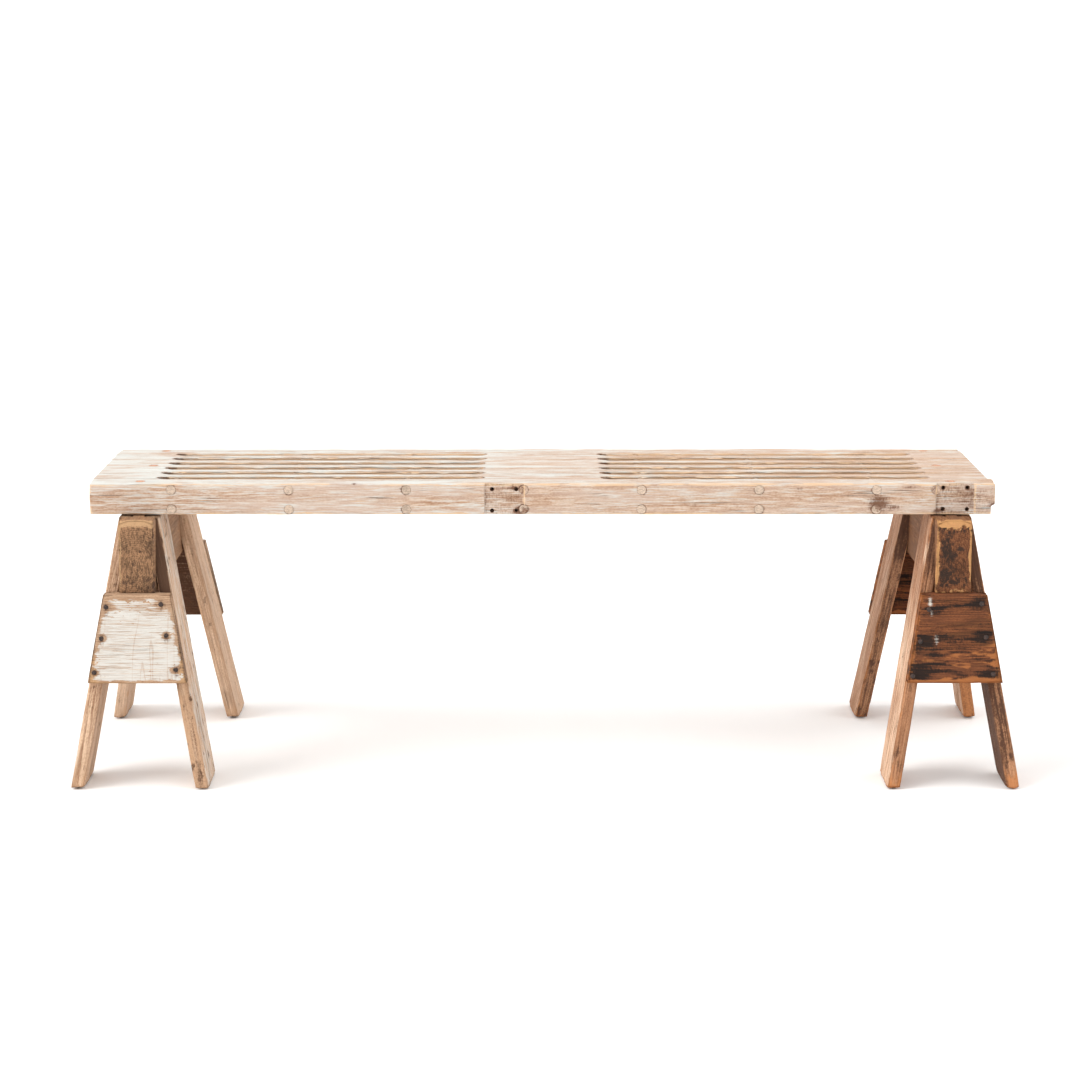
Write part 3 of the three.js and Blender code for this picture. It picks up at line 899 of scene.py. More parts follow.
# %% Turned solids
def turned_grid(profile, start, direction, sides):
    """Rings round an axis: start plus distance times the axis plus radius times cosine and sine."""
    axis = np.array(direction, dtype=float)
    axis /= np.linalg.norm(axis)
    side = np.cross(axis, (0.0, 0.0, 1.0) if abs(axis[2]) < 0.9 else (0.0, 1.0, 0.0))
    side /= np.linalg.norm(side)
    other = np.cross(axis, side)
    profile = np.array(profile, dtype=float)
    angle = np.linspace(0.0, 2 * math.pi, sides, endpoint=False)
    ring = np.cos(angle)[:, None] * side + np.sin(angle)[:, None] * other
    return np.array(start) + profile[:, 0, None, None] * axis + profile[:, 1, None, None] * ring


def bar(start, length, radius, direction, sides=32):
    """A plain round bar for cutting."""
    profile = [(0.0, radius * 0.5), (0.0, radius), (length, radius), (length, radius * 0.5)]
    return turned_grid(profile, start, direction, sides)


def cutter(name, grids):
    """One hidden object from several closed grids, to be taken away from a board."""
    points, faces, count = [], [], 0
    for grid in grids:
        mesh = closed_mesh("part", grid)
        points += mesh_points(mesh).tolist()
        faces += [[corner + count for corner in face.vertices] for face in mesh.polygons]
        count += len(mesh.vertices)
        bpy.data.meshes.remove(mesh)
    solid = bpy.data.meshes.new(name)
    solid.from_pydata(points, [], faces)
    holder = bpy.data.objects.new(name, solid)
    bpy.context.scene.collection.objects.link(holder)
    return holder

# %% [markdown]
# ## Deck
#
# The rails, slats and spacer blocks share one finish. The lime wash is left mostly on the top faces
# and fades towards the right-hand end, so the wash mark comes from which way a point faces and how
# far left it lies. The bores are cut once the boards are worn, so their rims stay crisp.

# %% Deck places
RAIL_LOW, RAIL_HIGH = (np.array(corner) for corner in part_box("deck_rail_front"))
BACK_HIGH = np.array(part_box("deck_rail_back")[1])
FRONT_FACE = RAIL_LOW[1]
DECK_TOP = RAIL_HIGH[2]
DECK_RIGHT = BACK_HIGH[0]
STATIONS = range(1, 8)
MIDDLE_STATION = 4


def middle_of(node):
    low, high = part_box(node)
    return (np.array(low) + np.array(high)) / 2


SEAT_DEPTH = 2.5 * MM
SEAT_HOLE_RADIUS = 2.4 * MM
SEAT_HOLES_ACROSS = 34.6 * MM
SEAT_HOLES_DOWN = 31.2 * MM
MIDDLE_DOWEL = middle_of("dowel_upper_4")
SEATS = {
    "middle": {"right": MIDDLE_DOWEL[0], "width": 56.4 * MM, "drop": 8.5 * MM},
    "right": {"right": DECK_RIGHT - 24.8 * MM, "width": 54.8 * MM, "drop": 6.5 * MM},
}
PLUG_X = SEATS["right"]["right"] - SEATS["right"]["width"]
DOWEL_RADIUS = float(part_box("dowel_upper_1")[1][0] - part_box("dowel_upper_1")[0][0]) / 2
DOWEL_GAP = 0.12 * MM


def seat_holes(seat):
    """The middles of a seat's four screw holes on the rail's face."""
    centre = seat["right"] - seat["width"] / 2
    return [
        (centre + side * SEAT_HOLES_ACROSS / 2, FRONT_FACE, DECK_TOP - seat["drop"] - row * SEAT_HOLES_DOWN)
        for side in (-1, 1) for row in (0, 1)
    ]


DOWEL_ENDS = [middle_of(f"dowel_{row}_{station}") for row in ("upper", "lower") for station in STATIONS]
SEAT_HOLES = [hole for seat in SEATS.values() for hole in seat_holes(seat)]
print("seat holes:", len(SEAT_HOLES), "dowel radius mm:", round(DOWEL_RADIUS / MM, 2))

# %% Deck cutters
TOP_PLUG_RADIUS = 7.2 * MM
SCREW_NODES = [f"deck_screw_{side}_{row}"
               for side in ("left", "right") for row in ("front", "middle", "back")]
# How far a cutting bar runs out past what it cuts, right through and at a hole's mouth.
PAST = 20 * MM
MOUTH = 10 * MM
SEAT_HOLE_DEPTH = 27 * MM
# The deck screws' holes: the height of the head and its clearance, and the radii at shank and tip.
HEAD_SEAT = 4.3 * MM
PLUG_GAP = 0.25 * MM
SHANK_HOLE = 3.3 * MM
TIP_HOLE = 1.6 * MM


def dowel_bores():
    """Round bars a little larger than the dowels, right through the deck."""
    length = float(BACK_HIGH[1] - FRONT_FACE) + 2 * PAST
    bores = []
    for row in ("upper", "lower"):
        for station in STATIONS:
            x, _, z = middle_of(f"dowel_{row}_{station}")
            x = MIDDLE_DOWEL[0] if station == MIDDLE_STATION else x
            bores.append(bar((x, FRONT_FACE - PAST, z), length, DOWEL_RADIUS + DOWEL_GAP, (0, 1, 0)))
    return bores


def seat_bores():
    """The seats' screw holes, each with a slightly flared mouth."""
    mouth = SEAT_HOLE_RADIUS * 1.3
    profile = [(-MOUTH, mouth * 0.5), (-MOUTH, mouth), (SEAT_DEPTH, mouth),
               (SEAT_DEPTH + 1.5 * MM, SEAT_HOLE_RADIUS), (SEAT_HOLE_DEPTH, SEAT_HOLE_RADIUS),
               (SEAT_HOLE_DEPTH, SEAT_HOLE_RADIUS * 0.5)]
    return [turned_grid(profile, hole, (0, 1, 0), 24) for hole in SEAT_HOLES]


def plug_bore():
    """The blind hole for the short plug beside the right-hand seat."""
    low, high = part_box("rail_plug")
    start = (PLUG_X, FRONT_FACE - MOUTH, (low[2] + high[2]) / 2)
    length = high[1] - FRONT_FACE + MOUTH + 0.3 * MM
    return bar(start, length, DOWEL_RADIUS + DOWEL_GAP, (0, 1, 0))


def screw_bores():
    """Holes for the deck screws: wide for the plug and the head, narrow for the shank."""
    wide = TOP_PLUG_RADIUS + PLUG_GAP
    bores = []
    for node in SCREW_NODES:
        low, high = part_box(node)
        x, y, _ = middle_of(node)
        seat = high[2] - HEAD_SEAT - DECK_TOP
        tip = low[2] - DECK_TOP - 0.5 * MM
        profile = [(tip, TIP_HOLE), (tip, SHANK_HOLE), (seat, SHANK_HOLE), (seat, wide), (MOUTH, wide),
                   (MOUTH, wide * 0.5)]
        bores.append(turned_grid(profile, (x, y, DECK_TOP), (0, 0, 1), 32))
    return bores


DOWEL_CUTTER = cutter("dowel_cutter", dowel_bores())
SEAT_CUTTER = cutter("seat_cutter", seat_bores() + [plug_bore()])
SCREW_CUTTER = cutter("screw_cutter", screw_bores())

# %% [markdown]
# ## Marks on the deck
#
# The rail's front is the face that is seen first, so its knots, rust runs and rubbed spots are put
# where they are on the real rail, each as a soft oval. A painted map could hold them too, but an
# oval stays clean at any size and is moved by changing one number. Inside the slots the wood is
# warmer and holds less lime.

# %% Deck marks
# Stains on the front rail's face: x, z, half-width and half-height in millimetres, and strength.
RAIL_STAINS = [
    (477, 401, 16, 11, 1.0), (518, 425, 14, 2.0, 0.6), (363, 422, 7, 3, 0.55), (-273, 430, 3, 2, 0.7),
    (-45, 423.5, 4, 3, 0.9), (-37, 391, 4.5, 4.5, 1.0), (561, 390, 9, 3, 0.6), (600, 404, 7, 1.2, 0.6),
    (500, 396, 8, 4, 0.5), (622, 407, 24, 22, 0.36), (-205, 424, 9, 1.6, 0.35),
    (212, 399, 10, 1.6, 0.35), (640, 399, 5, 3, 0.9),
]
# Rubbed spots on its arrises: x, z, half-length, strength.
RAIL_RUBS = [(-55, 430, 32, 0.8), (60, 430, 24, 0.7), (-480, 430, 22, 0.5), (300, 430, 30, 0.4),
             (615, 407, 5, 0.8), (-30, 407, 3.5, 0.6), (-330, 385, 30, 0.4), (180, 385, 40, 0.45)]


def deck_wash(points, normals):
    """Lime left in streaks on top faces, more of it towards the left-hand end."""
    left = smoothstep(0.7, -0.7, points[..., 0])
    top = smoothstep(0.3, 0.9, normals[..., 2])
    lines = rough_noise(points, (0.11, 0.008, 0.008), 13)
    on_top = 0.30 + 0.36 * left + 1.2 * (lines - 0.5)
    return np.maximum(top * on_top + (1 - top) * (0.20 + 0.13 * left), 0.0)


# Where the blocks end along X, and how far the outer slots lie from the deck's middle line.
BLOCK_ENDS = [float(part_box(node)[side][0]) for node, side in (
    ("spacer_left_1", 1), ("spacer_middle_1", 0), ("spacer_middle_1", 1), ("spacer_right_1", 0))]
SLOTS_REACH = 145 * MM


def deck_marks(points, normals):
    """The wash, warmer walls inside the slots, painted shade at each slot's left-hand end and a painted
    highlight at its right-hand end.
    """
    wall = smoothstep(0.45, 0.8, np.maximum(np.abs(normals[..., 1]), normals[..., 0]))
    wall = wall * smoothstep(0.5 * MM, 2.0 * MM, DECK_TOP - points[..., 2])
    wall = wall * smoothstep(SLOTS_REACH + 5 * MM, SLOTS_REACH - 5 * MM, np.abs(points[..., 1]))
    x = points[..., 0]
    wall = wall * smoothstep(BLOCK_ENDS[0] - 0.02, BLOCK_ENDS[0] - 0.01, x)
    wall = wall * smoothstep(BLOCK_ENDS[3] + 0.02, BLOCK_ENDS[3] + 0.01, x)
    # Painted shade: the left-hand end of each slot, where the slot's end wall keeps the light off.
    left = sum(smoothstep(end - 12 * MM, end - 4 * MM, x) * smoothstep(end + 13 * MM, end + 5 * MM, x)
               for end in (BLOCK_ENDS[0], BLOCK_ENDS[2]))
    # Painted highlight: the right-hand end of each slot, lightened through the worn mark.
    right = sum(np.exp(-(((x - end) / (14 * MM)) ** 2)) for end in (BLOCK_ENDS[1], BLOCK_ENDS[3]))
    wash = deck_wash(points, normals) * (1 - 0.3 * wall)
    return wall * (0.68 + 0.3 * right), 0.85 * wall * left, wash


def seat_shading(points, lumps):
    """Worn and stain of the bracket seats: a greyed floor, painted shade along the left step and a painted
    highlight along the right one.
    """
    rubbed, stain = 0.0, 0.0
    for seat in SEATS.values():
        from_left = points[..., 0] - seat["right"] + seat["width"]
        from_right = seat["right"] - points[..., 0]
        inside = smoothstep(0.5 * MM, 2.0 * MM, points[..., 1] - FRONT_FACE)
        inside = inside * smoothstep(0.0, 1.5 * MM, from_left) * smoothstep(0.0, 1.5 * MM, from_right)
        # Painted shade: a soft dark line along the left-hand step, where the step shades the floor.
        shadow = from_left - 1.0 * MM - 1.6 * MM * (lumps - 0.5)
        stain = stain + 0.24 * inside + 0.16 * np.exp(-((shadow / (3.0 * MM)) ** 2))
        # Painted highlight: a bright line along the right-hand step, put in through the worn mark.
        rubbed = rubbed + 0.95 * np.exp(-(((from_right + 0.6 * MM) / (1.2 * MM)) ** 2))
    return rubbed, stain


def hole_shading(points):
    """Dirt on a part of each dowel's rim, and painted shade inside the seats' screw holes."""
    stain = 0.0
    for x, _, z in DOWEL_ENDS:
        aside, up = points[..., 0] - x, points[..., 2] - z
        partial = 0.5 + 0.5 * np.sin(np.arctan2(up, aside) + 9.0 * x)
        out = np.hypot(aside, up) - DOWEL_RADIUS - 0.2 * MM
        stain = stain + 0.7 * partial * np.exp(-((out / (0.9 * MM)) ** 2))
    # Painted shade: the inside of each seat's screw hole is darkened.
    for x, _, z in SEAT_HOLES:
        inside = np.hypot(points[..., 0] - x, points[..., 2] - z) < SEAT_HOLE_RADIUS * 1.45
        stain = stain + 1.5 * inside * (points[..., 1] > FRONT_FACE + SEAT_DEPTH - 0.2 * MM)
    return stain


def front_rail_marks(points, normals):
    """The wash, with the listed stains and rubbed spots, seats and holes on the front of the rail."""
    front = smoothstep(FRONT_FACE + 12 * MM, FRONT_FACE + 4 * MM, points[..., 1])
    flat = points[..., [0, 2]]
    lumps = rough_noise(points, (0.03, 0.02, 0.01), 57)
    rubbed, stain = seat_shading(points, lumps)
    stain = stain + hole_shading(points)
    stain = stain + sum(power * near(flat, (x * MM, z * MM), (wide * MM, high * MM))
                        for x, z, wide, high, power in RAIL_STAINS)
    rubbed = rubbed + sum(power * near(flat, (x * MM, z * MM), (wide * MM, 3 * MM))
                          for x, z, wide, power in RAIL_RUBS)
    arris = np.minimum(DECK_TOP - points[..., 2], points[..., 2] - RAIL_LOW[2])
    rubbed = rubbed + 0.85 * smoothstep(4.2 * MM, 1.2 * MM, arris) * smoothstep(0.38, 0.58, lumps)
    behind = deck_marks(points, normals)
    ahead = (rubbed, stain, deck_wash(points, normals))
    return tuple(first * front + second * (1 - front) for first, second in zip(ahead, behind))

# %% [markdown]
# ## Rails
#
# Two long boards close the deck in. The front one has two shallow seats with screw holes, as for
# brackets, and a broken lower corner. The seats could be cut by a boolean box, but that leaves a
# dead flat floor. Pushing the grid's own points back keeps the floor uneven, and two close rows at
# each edge keep the step sharp.

# %% Where the slots are open
def open_slots(points):
    """1 between the spacer blocks, where both arrises of a slat are open, and 0 beside a block."""
    x = points[..., 0]
    return sum(
        smoothstep(start - 6 * MM, start + 12 * MM, x) * smoothstep(finish + 6 * MM, finish - 12 * MM, x)
        for start, finish in (BLOCK_ENDS[:2], BLOCK_ENDS[2:])
    )


print("slots run between", np.round(BLOCK_ENDS, 3))

# %% Rails
def seat_rows():
    """Two close rows at each edge of each seat, so that the step down is sharp."""
    edges = [edge for seat in SEATS.values() for edge in (seat["right"] - seat["width"], seat["right"])]
    return [edge - RAIL_LOW[0] + side for edge in edges for side in (-0.25 * MM, 0.25 * MM)]


def front_rail_shape(local, size):
    """Clamps the seats flat, breaks the lower right-hand corner and splits the end above it."""
    x = local[..., 0] + RAIL_LOW[0]
    face = -size[2] / 2
    for seat in SEATS.values():
        inside = (x > seat["right"] - seat["width"]) & (x < seat["right"])
        floor = face + SEAT_DEPTH - 0.5 * MM * smooth_noise(local, (0.02, 0.01, 0.01), 5)
        local[..., 2] = np.where(inside, np.maximum(local[..., 2], floor), local[..., 2])
    ragged = 1.0 * MM * rough_noise(local, (0.01, 0.004, 0.008), 9)
    low = smoothstep(15.5 * MM, 13.0 * MM, local[..., 1] + size[1] / 2)
    limit = size[0] - 5.2 * MM * low - ragged
    last = smoothstep(size[0] - 14 * MM, size[0], local[..., 0])
    local[..., 0] = local[..., 0] - last * np.maximum(size[0] - limit, 0.0)
    step = near(local, (size[0], -8.5 * MM, face), (7 * MM, 1.3 * MM, 6 * MM))
    local[..., 2] += 2.2 * MM * step
    chewed = near(local, (-38.5 * MM - RAIL_LOW[0], -15.5 * MM, face), (4.5 * MM, 4.5 * MM, 6 * MM))
    local[..., 2] += 2.6 * MM * chewed
    return local


def rail_open(points):
    """1 on the rail's outer half, and on its inner half where a slot runs beside it."""
    outer = smoothstep(0.138, 0.130, np.abs(points[..., 1]))
    return 1.0 - outer * (1.0 - open_slots(points))


def rails():
    front = Board("deck_rail_front", "X")
    worn_board(front, DECK_WOOD, "deck_wood", 3, Wear(0.9, 1.5, 0.5, 0.45, 0.5), step=2.6, around=1.5,
               extra=seat_rows(), pith=(31, -58), bare=rail_open, shape=front_rail_shape,
               marks=front_rail_marks, cutters=(DOWEL_CUTTER, SEAT_CUTTER, SCREW_CUTTER))
    back = Board("deck_rail_back", "X")
    worn_board(back, DECK_WOOD, "deck_wood", 7, Wear(1.3, 1.8, 1.2, 0.45, 0.6), step=3.0, around=1.8,
               pith=(-24, 51), bare=rail_open, marks=deck_marks, cutters=(DOWEL_CUTTER, SCREW_CUTTER))


rails()
print("rails done")

# %% [markdown]
# ## Slats and spacer blocks
#
# Five slats run the deck's length, and short blocks between them close the slots at both ends and
# in the middle. The slots end in a half round, so each block is hollowed there. A slat's arrises
# are only worn where a slot runs beside it: beside a block the joint stays tight, or the deck's top
# would show gaps that aren't there.

# %% Slats
SLAT_NODES = [f"deck_slat_{n}" for n in range(1, 6)]


def slats():
    """Narrower than the rails, and more chewed, since both arrises of each are open to the feet."""
    for n, node in enumerate(SLAT_NODES):
        low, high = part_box(node)
        holes = (DOWEL_CUTTER, SCREW_CUTTER) if low[1] < 0 < high[1] else (DOWEL_CUTTER,)
        worn_board(Board(node, "X"), DECK_WOOD, "deck_wood", 20 + 7 * n, Wear(1.9, 2.0, 0.6, 0.4, 0.9),
                   radius=0.7, around=2.4, pith=(12 + 9 * n, 40 - 17 * n), bare=open_slots,
                   marks=deck_marks, cutters=holes)


slats()
print("slats done")

# %% Spacer blocks
HOLLOW = 7.5 * MM
HOLLOW_REACH = 20 * MM


def hollow_ends(at_start, at_finish):
    """Ends hollowed to a half round across the thickness, so the slot beside them ends round."""

    def shape(local, size):
        edge = np.clip(np.abs(local[..., 2]) / (size[2] / 2), 0.0, 1.0)
        depth = HOLLOW * np.sqrt(1.0 - edge**2)
        if at_start:
            local[..., 0] += depth * smoothstep(HOLLOW_REACH, 0.0, local[..., 0])
        if at_finish:
            local[..., 0] -= depth * smoothstep(size[0] - HOLLOW_REACH, size[0], local[..., 0])
        return local

    return shape


def blocks():
    for place, at_start, at_finish in (("left", False, True), ("middle", True, True), ("right", True, False)):
        for slot in range(1, 7):
            seed = 60 + 13 * slot + len(place)
            holes = (DOWEL_CUTTER,) if place == "middle" else ()
            worn_board(Board(f"spacer_{place}_{slot}", "X"), DECK_WOOD, "deck_wood", seed,
                       Wear(0.9, 1.2, 0.8, 0.3, 0.3), radius=0.6, step=3.5, around=2.6, end_rings=6,
                       pith=(8 * slot - 30, 45 - 11 * slot), bare=open_slots,
                       shape=hollow_ends(at_start, at_finish),
                       marks=deck_marks, cutters=holes)


blocks()
print("spacer blocks done")

# %% [markdown]
# ## Dowels and plugs
#
# The dowels' pale end grain shows as a row of spots on the rail. They are turned bars, not painted
# rounds, because each sits at a slightly different depth and catches the light on its rim. The
# middle pair and the lone plug are half cut away by the bracket seats. Flat reddish plugs hide the
# screws that hold the deck to the beams.

# %% Dowels and plugs
def dowel_profile(length, radius):
    """A bar with slightly domed ends, chamfered by driving."""
    end = [(0.55, 0.35), (0.35, 0.7), (0.3, 0.88), (0.55, 0.965), (1.4, 1.0)]
    front = [(out * MM, radius * share) for out, share in end]
    middle = [(length * share, radius) for share in np.linspace(0.1, 0.9, 9)]
    back = [(length - out * MM, radius * share) for out, share in reversed(end)]
    return front + middle + back


def turned_piece(name, grid, material, slot, end_rows, offset, nodes=(), dent=None, marked=None):
    """A turned piece, with end grain on its first and last few rows, and its own worn and stain."""
    if dent:
        grid = dent(grid)
    rows, columns = grid.shape[:2]
    mesh = closed_mesh(name, grid)
    ends = np.zeros(rows)
    ends[:end_rows] = 1.0
    ends[rows - end_rows:] = 1.0
    marks = np.zeros((rows * columns + 2, 4))
    marks[: rows * columns, 3] = np.repeat(ends, columns)
    marks[rows * columns:, 3] = min(end_rows, 1)
    points = mesh_points(mesh)
    if marked:
        marks[:, :2] = np.stack(np.broadcast_arrays(*marked(points)), axis=-1)
    centre = points.mean(0)
    spread = np.ptp(points, axis=0)
    longest = int(np.argmax(spread))
    order = [longest] + [n for n in range(3) if n != longest]
    paint(mesh, (points - centre)[:, order] + np.array([offset, 0.002, 0.003]), marks)
    return show(name, mesh, material, slot, *nodes)


def sunk_into_seat(seat):
    """Moves the part of a dowel's front that lies in a seat down to the seat's floor."""

    def dent(grid):
        inside = (grid[..., 0] < seat["right"]) & (grid[..., 0] > seat["right"] - seat["width"])
        floor = FRONT_FACE + SEAT_DEPTH
        grid[..., 1] = np.where(inside, np.maximum(grid[..., 1], floor), grid[..., 1])
        return grid

    return dent


def chewed_end(centre, row, edge):
    """Worn and stain on an end that a seat's edge cuts through, and the lower one's broken side. The worn
    line at the seat's right-hand edge is a painted highlight.
    """

    def marked(points):
        front = points[:, 1] < 0
        seated = 0.3 * smoothstep(centre[0] + 0.5 * MM, centre[0] - 0.5 * MM, points[:, 0])
        # Painted highlight along the seat's bright right-hand step.
        worn = 0.95 * front * np.exp(-(((points[:, 0] - edge - 0.4 * MM) / (1.6 * MM)) ** 2))
        if row == "upper":
            return worn, front * (seated + 0.1)
        broken = near(points[:, [0, 2]], (centre[0] + 3 * MM, centre[1] - 2.5 * MM), (4 * MM, 4 * MM))
        return worn * 0.5, front * (seated + 0.9 * broken)

    return marked


def blotted_end(points):
    """The stain round the last lower dowel runs over its end."""
    blot = near(points[:, [0, 2]], (0.478, 0.401), (0.013, 0.010))
    return 0.0, 0.95 * blot * (points[:, 1] < 0)


def dowels():
    length = float(BACK_HIGH[1] - FRONT_FACE)
    for row in ("upper", "lower"):
        for station in STATIONS:
            node = f"dowel_{row}_{station}"
            x, _, z = middle_of(node)
            x = MIDDLE_DOWEL[0] if station == MIDDLE_STATION else x
            sunk = (0.25 + 0.15 * math.sin(5.0 * station + (0 if row == "upper" else 2))) * MM
            sunk += 1.6 * MM if node == "dowel_lower_4" else 0.0
            grid = turned_grid(dowel_profile(length - 2 * sunk, DOWEL_RADIUS), (x, FRONT_FACE + sunk, z),
                               (0, 1, 0), 36)
            middle = station == MIDDLE_STATION
            faded = node == "dowel_upper_4"
            marked = chewed_end((x, z), row, SEATS["middle"]["right"]) if middle else None
            marked = blotted_end if node == "dowel_lower_7" else marked
            turned_piece(node + "_worn", grid, DECK_WOOD if faded else DOWEL_WOOD, "dowel_wood",
                         0 if faded else 4, 0.37 * station, (node,),
                         dent=sunk_into_seat(SEATS["middle"]) if middle else None,
                         marked=marked)
    low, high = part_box("rail_plug")
    grid = turned_grid(dowel_profile(high[1] - FRONT_FACE - 0.3 * MM, DOWEL_RADIUS),
                       (PLUG_X, FRONT_FACE + 0.3 * MM, (low[2] + high[2]) / 2), (0, 1, 0), 36)
    turned_piece("rail_plug_worn", grid, DECK_WOOD, "dowel_wood", 0, 3.3, ("rail_plug",),
                 sunk_into_seat(SEATS["right"]), chewed_end((PLUG_X, DECK_TOP), "upper", PLUG_X))


def top_plugs():
    """Flat reddish plugs that fill the holes over the deck screws' heads."""
    for n, node in enumerate(SCREW_NODES):
        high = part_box(node)[1]
        x, y, _ = middle_of(node)
        depth = float(DECK_TOP - high[2]) - 0.6 * MM
        profile = [(0.3 * MM, 0.3), (0.25 * MM, 0.6), (0.3 * MM, 0.85), (0.45 * MM, 0.97), (1.2 * MM, 1.0),
                   (depth - 1.5 * MM, 1.0), (depth, 0.94), (depth, 0.5)]
        profile = [(out, share * TOP_PLUG_RADIUS) for out, share in profile]
        grid = turned_grid(profile, (x, y, DECK_TOP), (0.0, 0.0, -1.0), 36)
        turned_piece(f"top_plug_{n + 1}", grid, PLUG_WOOD, "dowel_wood", 4, 5.0 + n)


dowels()
top_plugs()
for node in SCREW_NODES:
    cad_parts[node].data.materials.clear()
    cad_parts[node].data.materials.append(IRON)
print("dowels and plugs done")

# %% [markdown]
# ## Sawhorses
#
# Each beam lies front to back on edge, with the pith of the tree near the middle of its end. The
# legs are let into its sides, so the beam is cut by four slightly larger legs. Nails go through
# each gusset into the legs behind, three down each side.

# %% Sawhorse places and cutters
HORSES = ("left", "right")
ENDS = ("front", "back")
HANDS = ("left", "right")
GAIN_GAP = 0.3 * MM
NAIL_LENGTH = 42 * MM
NAIL_SHANK = 1.7 * MM
NAIL_HEAD = 3.6 * MM
NAIL_SIDES = 20
# The finish, slot and seed of each sawhorse's beam, legs and gussets.
LOOKS = {
    "left": {
        "beam": (TAN_BEAM_WOOD, "tan_beam_wood", 211),
        "leg": (TAN_WOOD, "tan_leg_wood", 400),
        "gusset": (PAINTED_WOOD, "white_painted_wood", 600),
    },
    "right": {
        "beam": (BROWN_BEAM_WOOD, "brown_beam_wood", 307),
        "leg": (BROWN_WOOD, "brown_leg_wood", 500),
        "gusset": (DARK_WOOD, "dark_stained_wood", 640),
    },
}
# Where the pith lies in a beam's end, and how worn the gussets are.
BEAM_PITH = {"left": (9.5, 3.5), "right": (-0.5, 0.0)}
GUSSET_WEAR = {"left": Wear(0.9, 1.0, 1.2, 0.3, 0.5), "right": Wear(1.5, 2.0, 2.0, 0.6, 0.6)}
# Nails in each gusset: offset from the beam's middle, and height, in millimetres.
GUSSET_NAILS = {
    "left_front": [(-42.9, 261.1), (35.0, 265.0), (-49.6, 217.3), (42.6, 221.5),
                   (-59.8, 169.9), (56.2, 173.8)],
    "right_front": [(-36.0, 257.5), (38.9, 265.5), (-48.0, 213.0), (45.0, 218.9),
                    (-59.2, 164.8), (55.3, 167.4)],
    "left_back": [(-38.2, 263.4), (39.1, 259.9), (-50.4, 220.6), (47.3, 216.2),
                  (-56.9, 171.5), (60.2, 168.3)],
    "right_back": [(-40.3, 262.2), (36.4, 258.8), (-47.1, 217.9), (43.9, 221.0),
                   (-57.6, 168.2), (54.1, 172.6)],
}


def beam_middle(horse):
    return float(middle_of(f"{horse}_beam")[0])


def leg_cutter(horse):
    """The four legs of a sawhorse, a little thicker and taller, as one cutter."""
    grids = []
    for end in ENDS:
        for hand in HANDS:
            corners = leaning_corners(f"{horse}_leg_{end}_{hand}")
            middle = corners.mean((0, 1), keepdims=True)
            grown = corners + np.sign(corners - middle) * np.array([GAIN_GAP, GAIN_GAP, 0.0])
            lean = grown[:, :, 1] - grown[:, :, 0]
            ring = [(0, 0), (1, 0), (1, 1), (0, 1)]
            levels = [grown[:, :, 0], grown[:, :, 1] + 0.02 * lean]
            rows = [np.array([level[i, j] for i, j in ring]) for level in levels]
            caps = [row.mean(0) + 0.5 * (row - row.mean(0)) for row in rows]
            grids.append(np.stack([caps[0], rows[0], rows[1], caps[1]]))
    return cutter(f"{horse}_leg_cutter", grids)


def nail_seat(horse, end, offset, height):
    """Where a nail meets a gusset's outer face, and the way it points out of it."""
    corners = leaning_corners(f"{horse}_gusset_{end}")
    side = 0 if end == "front" else 1
    low, high = corners[0, side, 0], corners[0, side, 1]
    share = (height * MM - low[2]) / (high[2] - low[2])
    y = low[1] + share * (high[1] - low[1])
    slope = (high[1] - low[1]) / (high[2] - low[2])
    sign = -1.0 if end == "front" else 1.0
    return np.array([beam_middle(horse) + offset * MM, y, height * MM]), (0.0, sign, -sign * slope)


def nails_in(horse, end):
    return [nail_seat(horse, end, offset, height) for offset, height in GUSSET_NAILS[f"{horse}_{end}"]]


def nail_cutter(horse):
    """Holes for the nails of both gussets."""
    grids = []
    for end in ENDS:
        for seat, way in nails_in(horse, end):
            way = np.array(way) / np.linalg.norm(way)
            grids.append(bar(seat + way * 0.005, NAIL_LENGTH + 0.006, NAIL_SHANK + 0.15 * MM, -way, 16))
    return cutter(f"{horse}_nail_cutter", grids)

# %% [markdown]
# ## Beams
#
# A beam's end grain faces the viewer, so it is the most looked-at face of a sawhorse. The rows run
# in over the end as closely as along the board, and the end bulges a little with a frayed top, as
# an old sawn end does. A texture alone would leave the outline straight.

# %% Beams
def beam_open(points):
    """The beam wears on its upper part, and not where it rests on the gussets."""
    return smoothstep(0.284, 0.305, points[..., 2])


def beam_shape(seed):
    """Rounds the ends' upper corners, pulls the end's middle out and frays the top."""

    def shape(local, size):
        end = np.minimum(local[..., 0], size[0] - local[..., 0])
        corner = np.hypot(np.abs(local[..., 2]) / (size[2] / 2), np.maximum(local[..., 1], 0) / (size[1] / 2))
        pillow = 2.4 * MM * smoothstep(0.55, 1.35, corner) * smoothstep(9 * MM, 0.0, end)
        pillow = pillow * smoothstep(-size[1] / 2, -size[1] / 2 + 14 * MM, local[..., 1])
        fray = 2.2 * MM * smooth_noise(local, (0.004, 0.02, 0.0035), seed + 3)
        fray = fray * smoothstep(size[1] / 2 - 9 * MM, size[1] / 2, local[..., 1])
        fray = fray * smoothstep(8 * MM, 0.0, end)
        way = np.where(local[..., 0] < size[0] / 2, 1.0, -1.0)
        local[..., 0] += way * (pillow + fray)
        crown = smoothstep(0.35, 1.0, np.abs(local[..., 2]) / (size[2] / 2))
        crown = crown * smoothstep(size[1] / 2 - 14 * MM, size[1] / 2, local[..., 1])
        local[..., 1] -= 4.5 * MM * crown * smoothstep(18 * MM, 0.0, end)
        return local

    return shape


def beam_half():
    return float(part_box("left_beam")[1][0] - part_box("left_beam")[0][0]) / 2


def front_end(points):
    """1 on a beam's front end, and 0 from a little way behind it."""
    return smoothstep(-180 * MM, -192 * MM, points[..., 1])


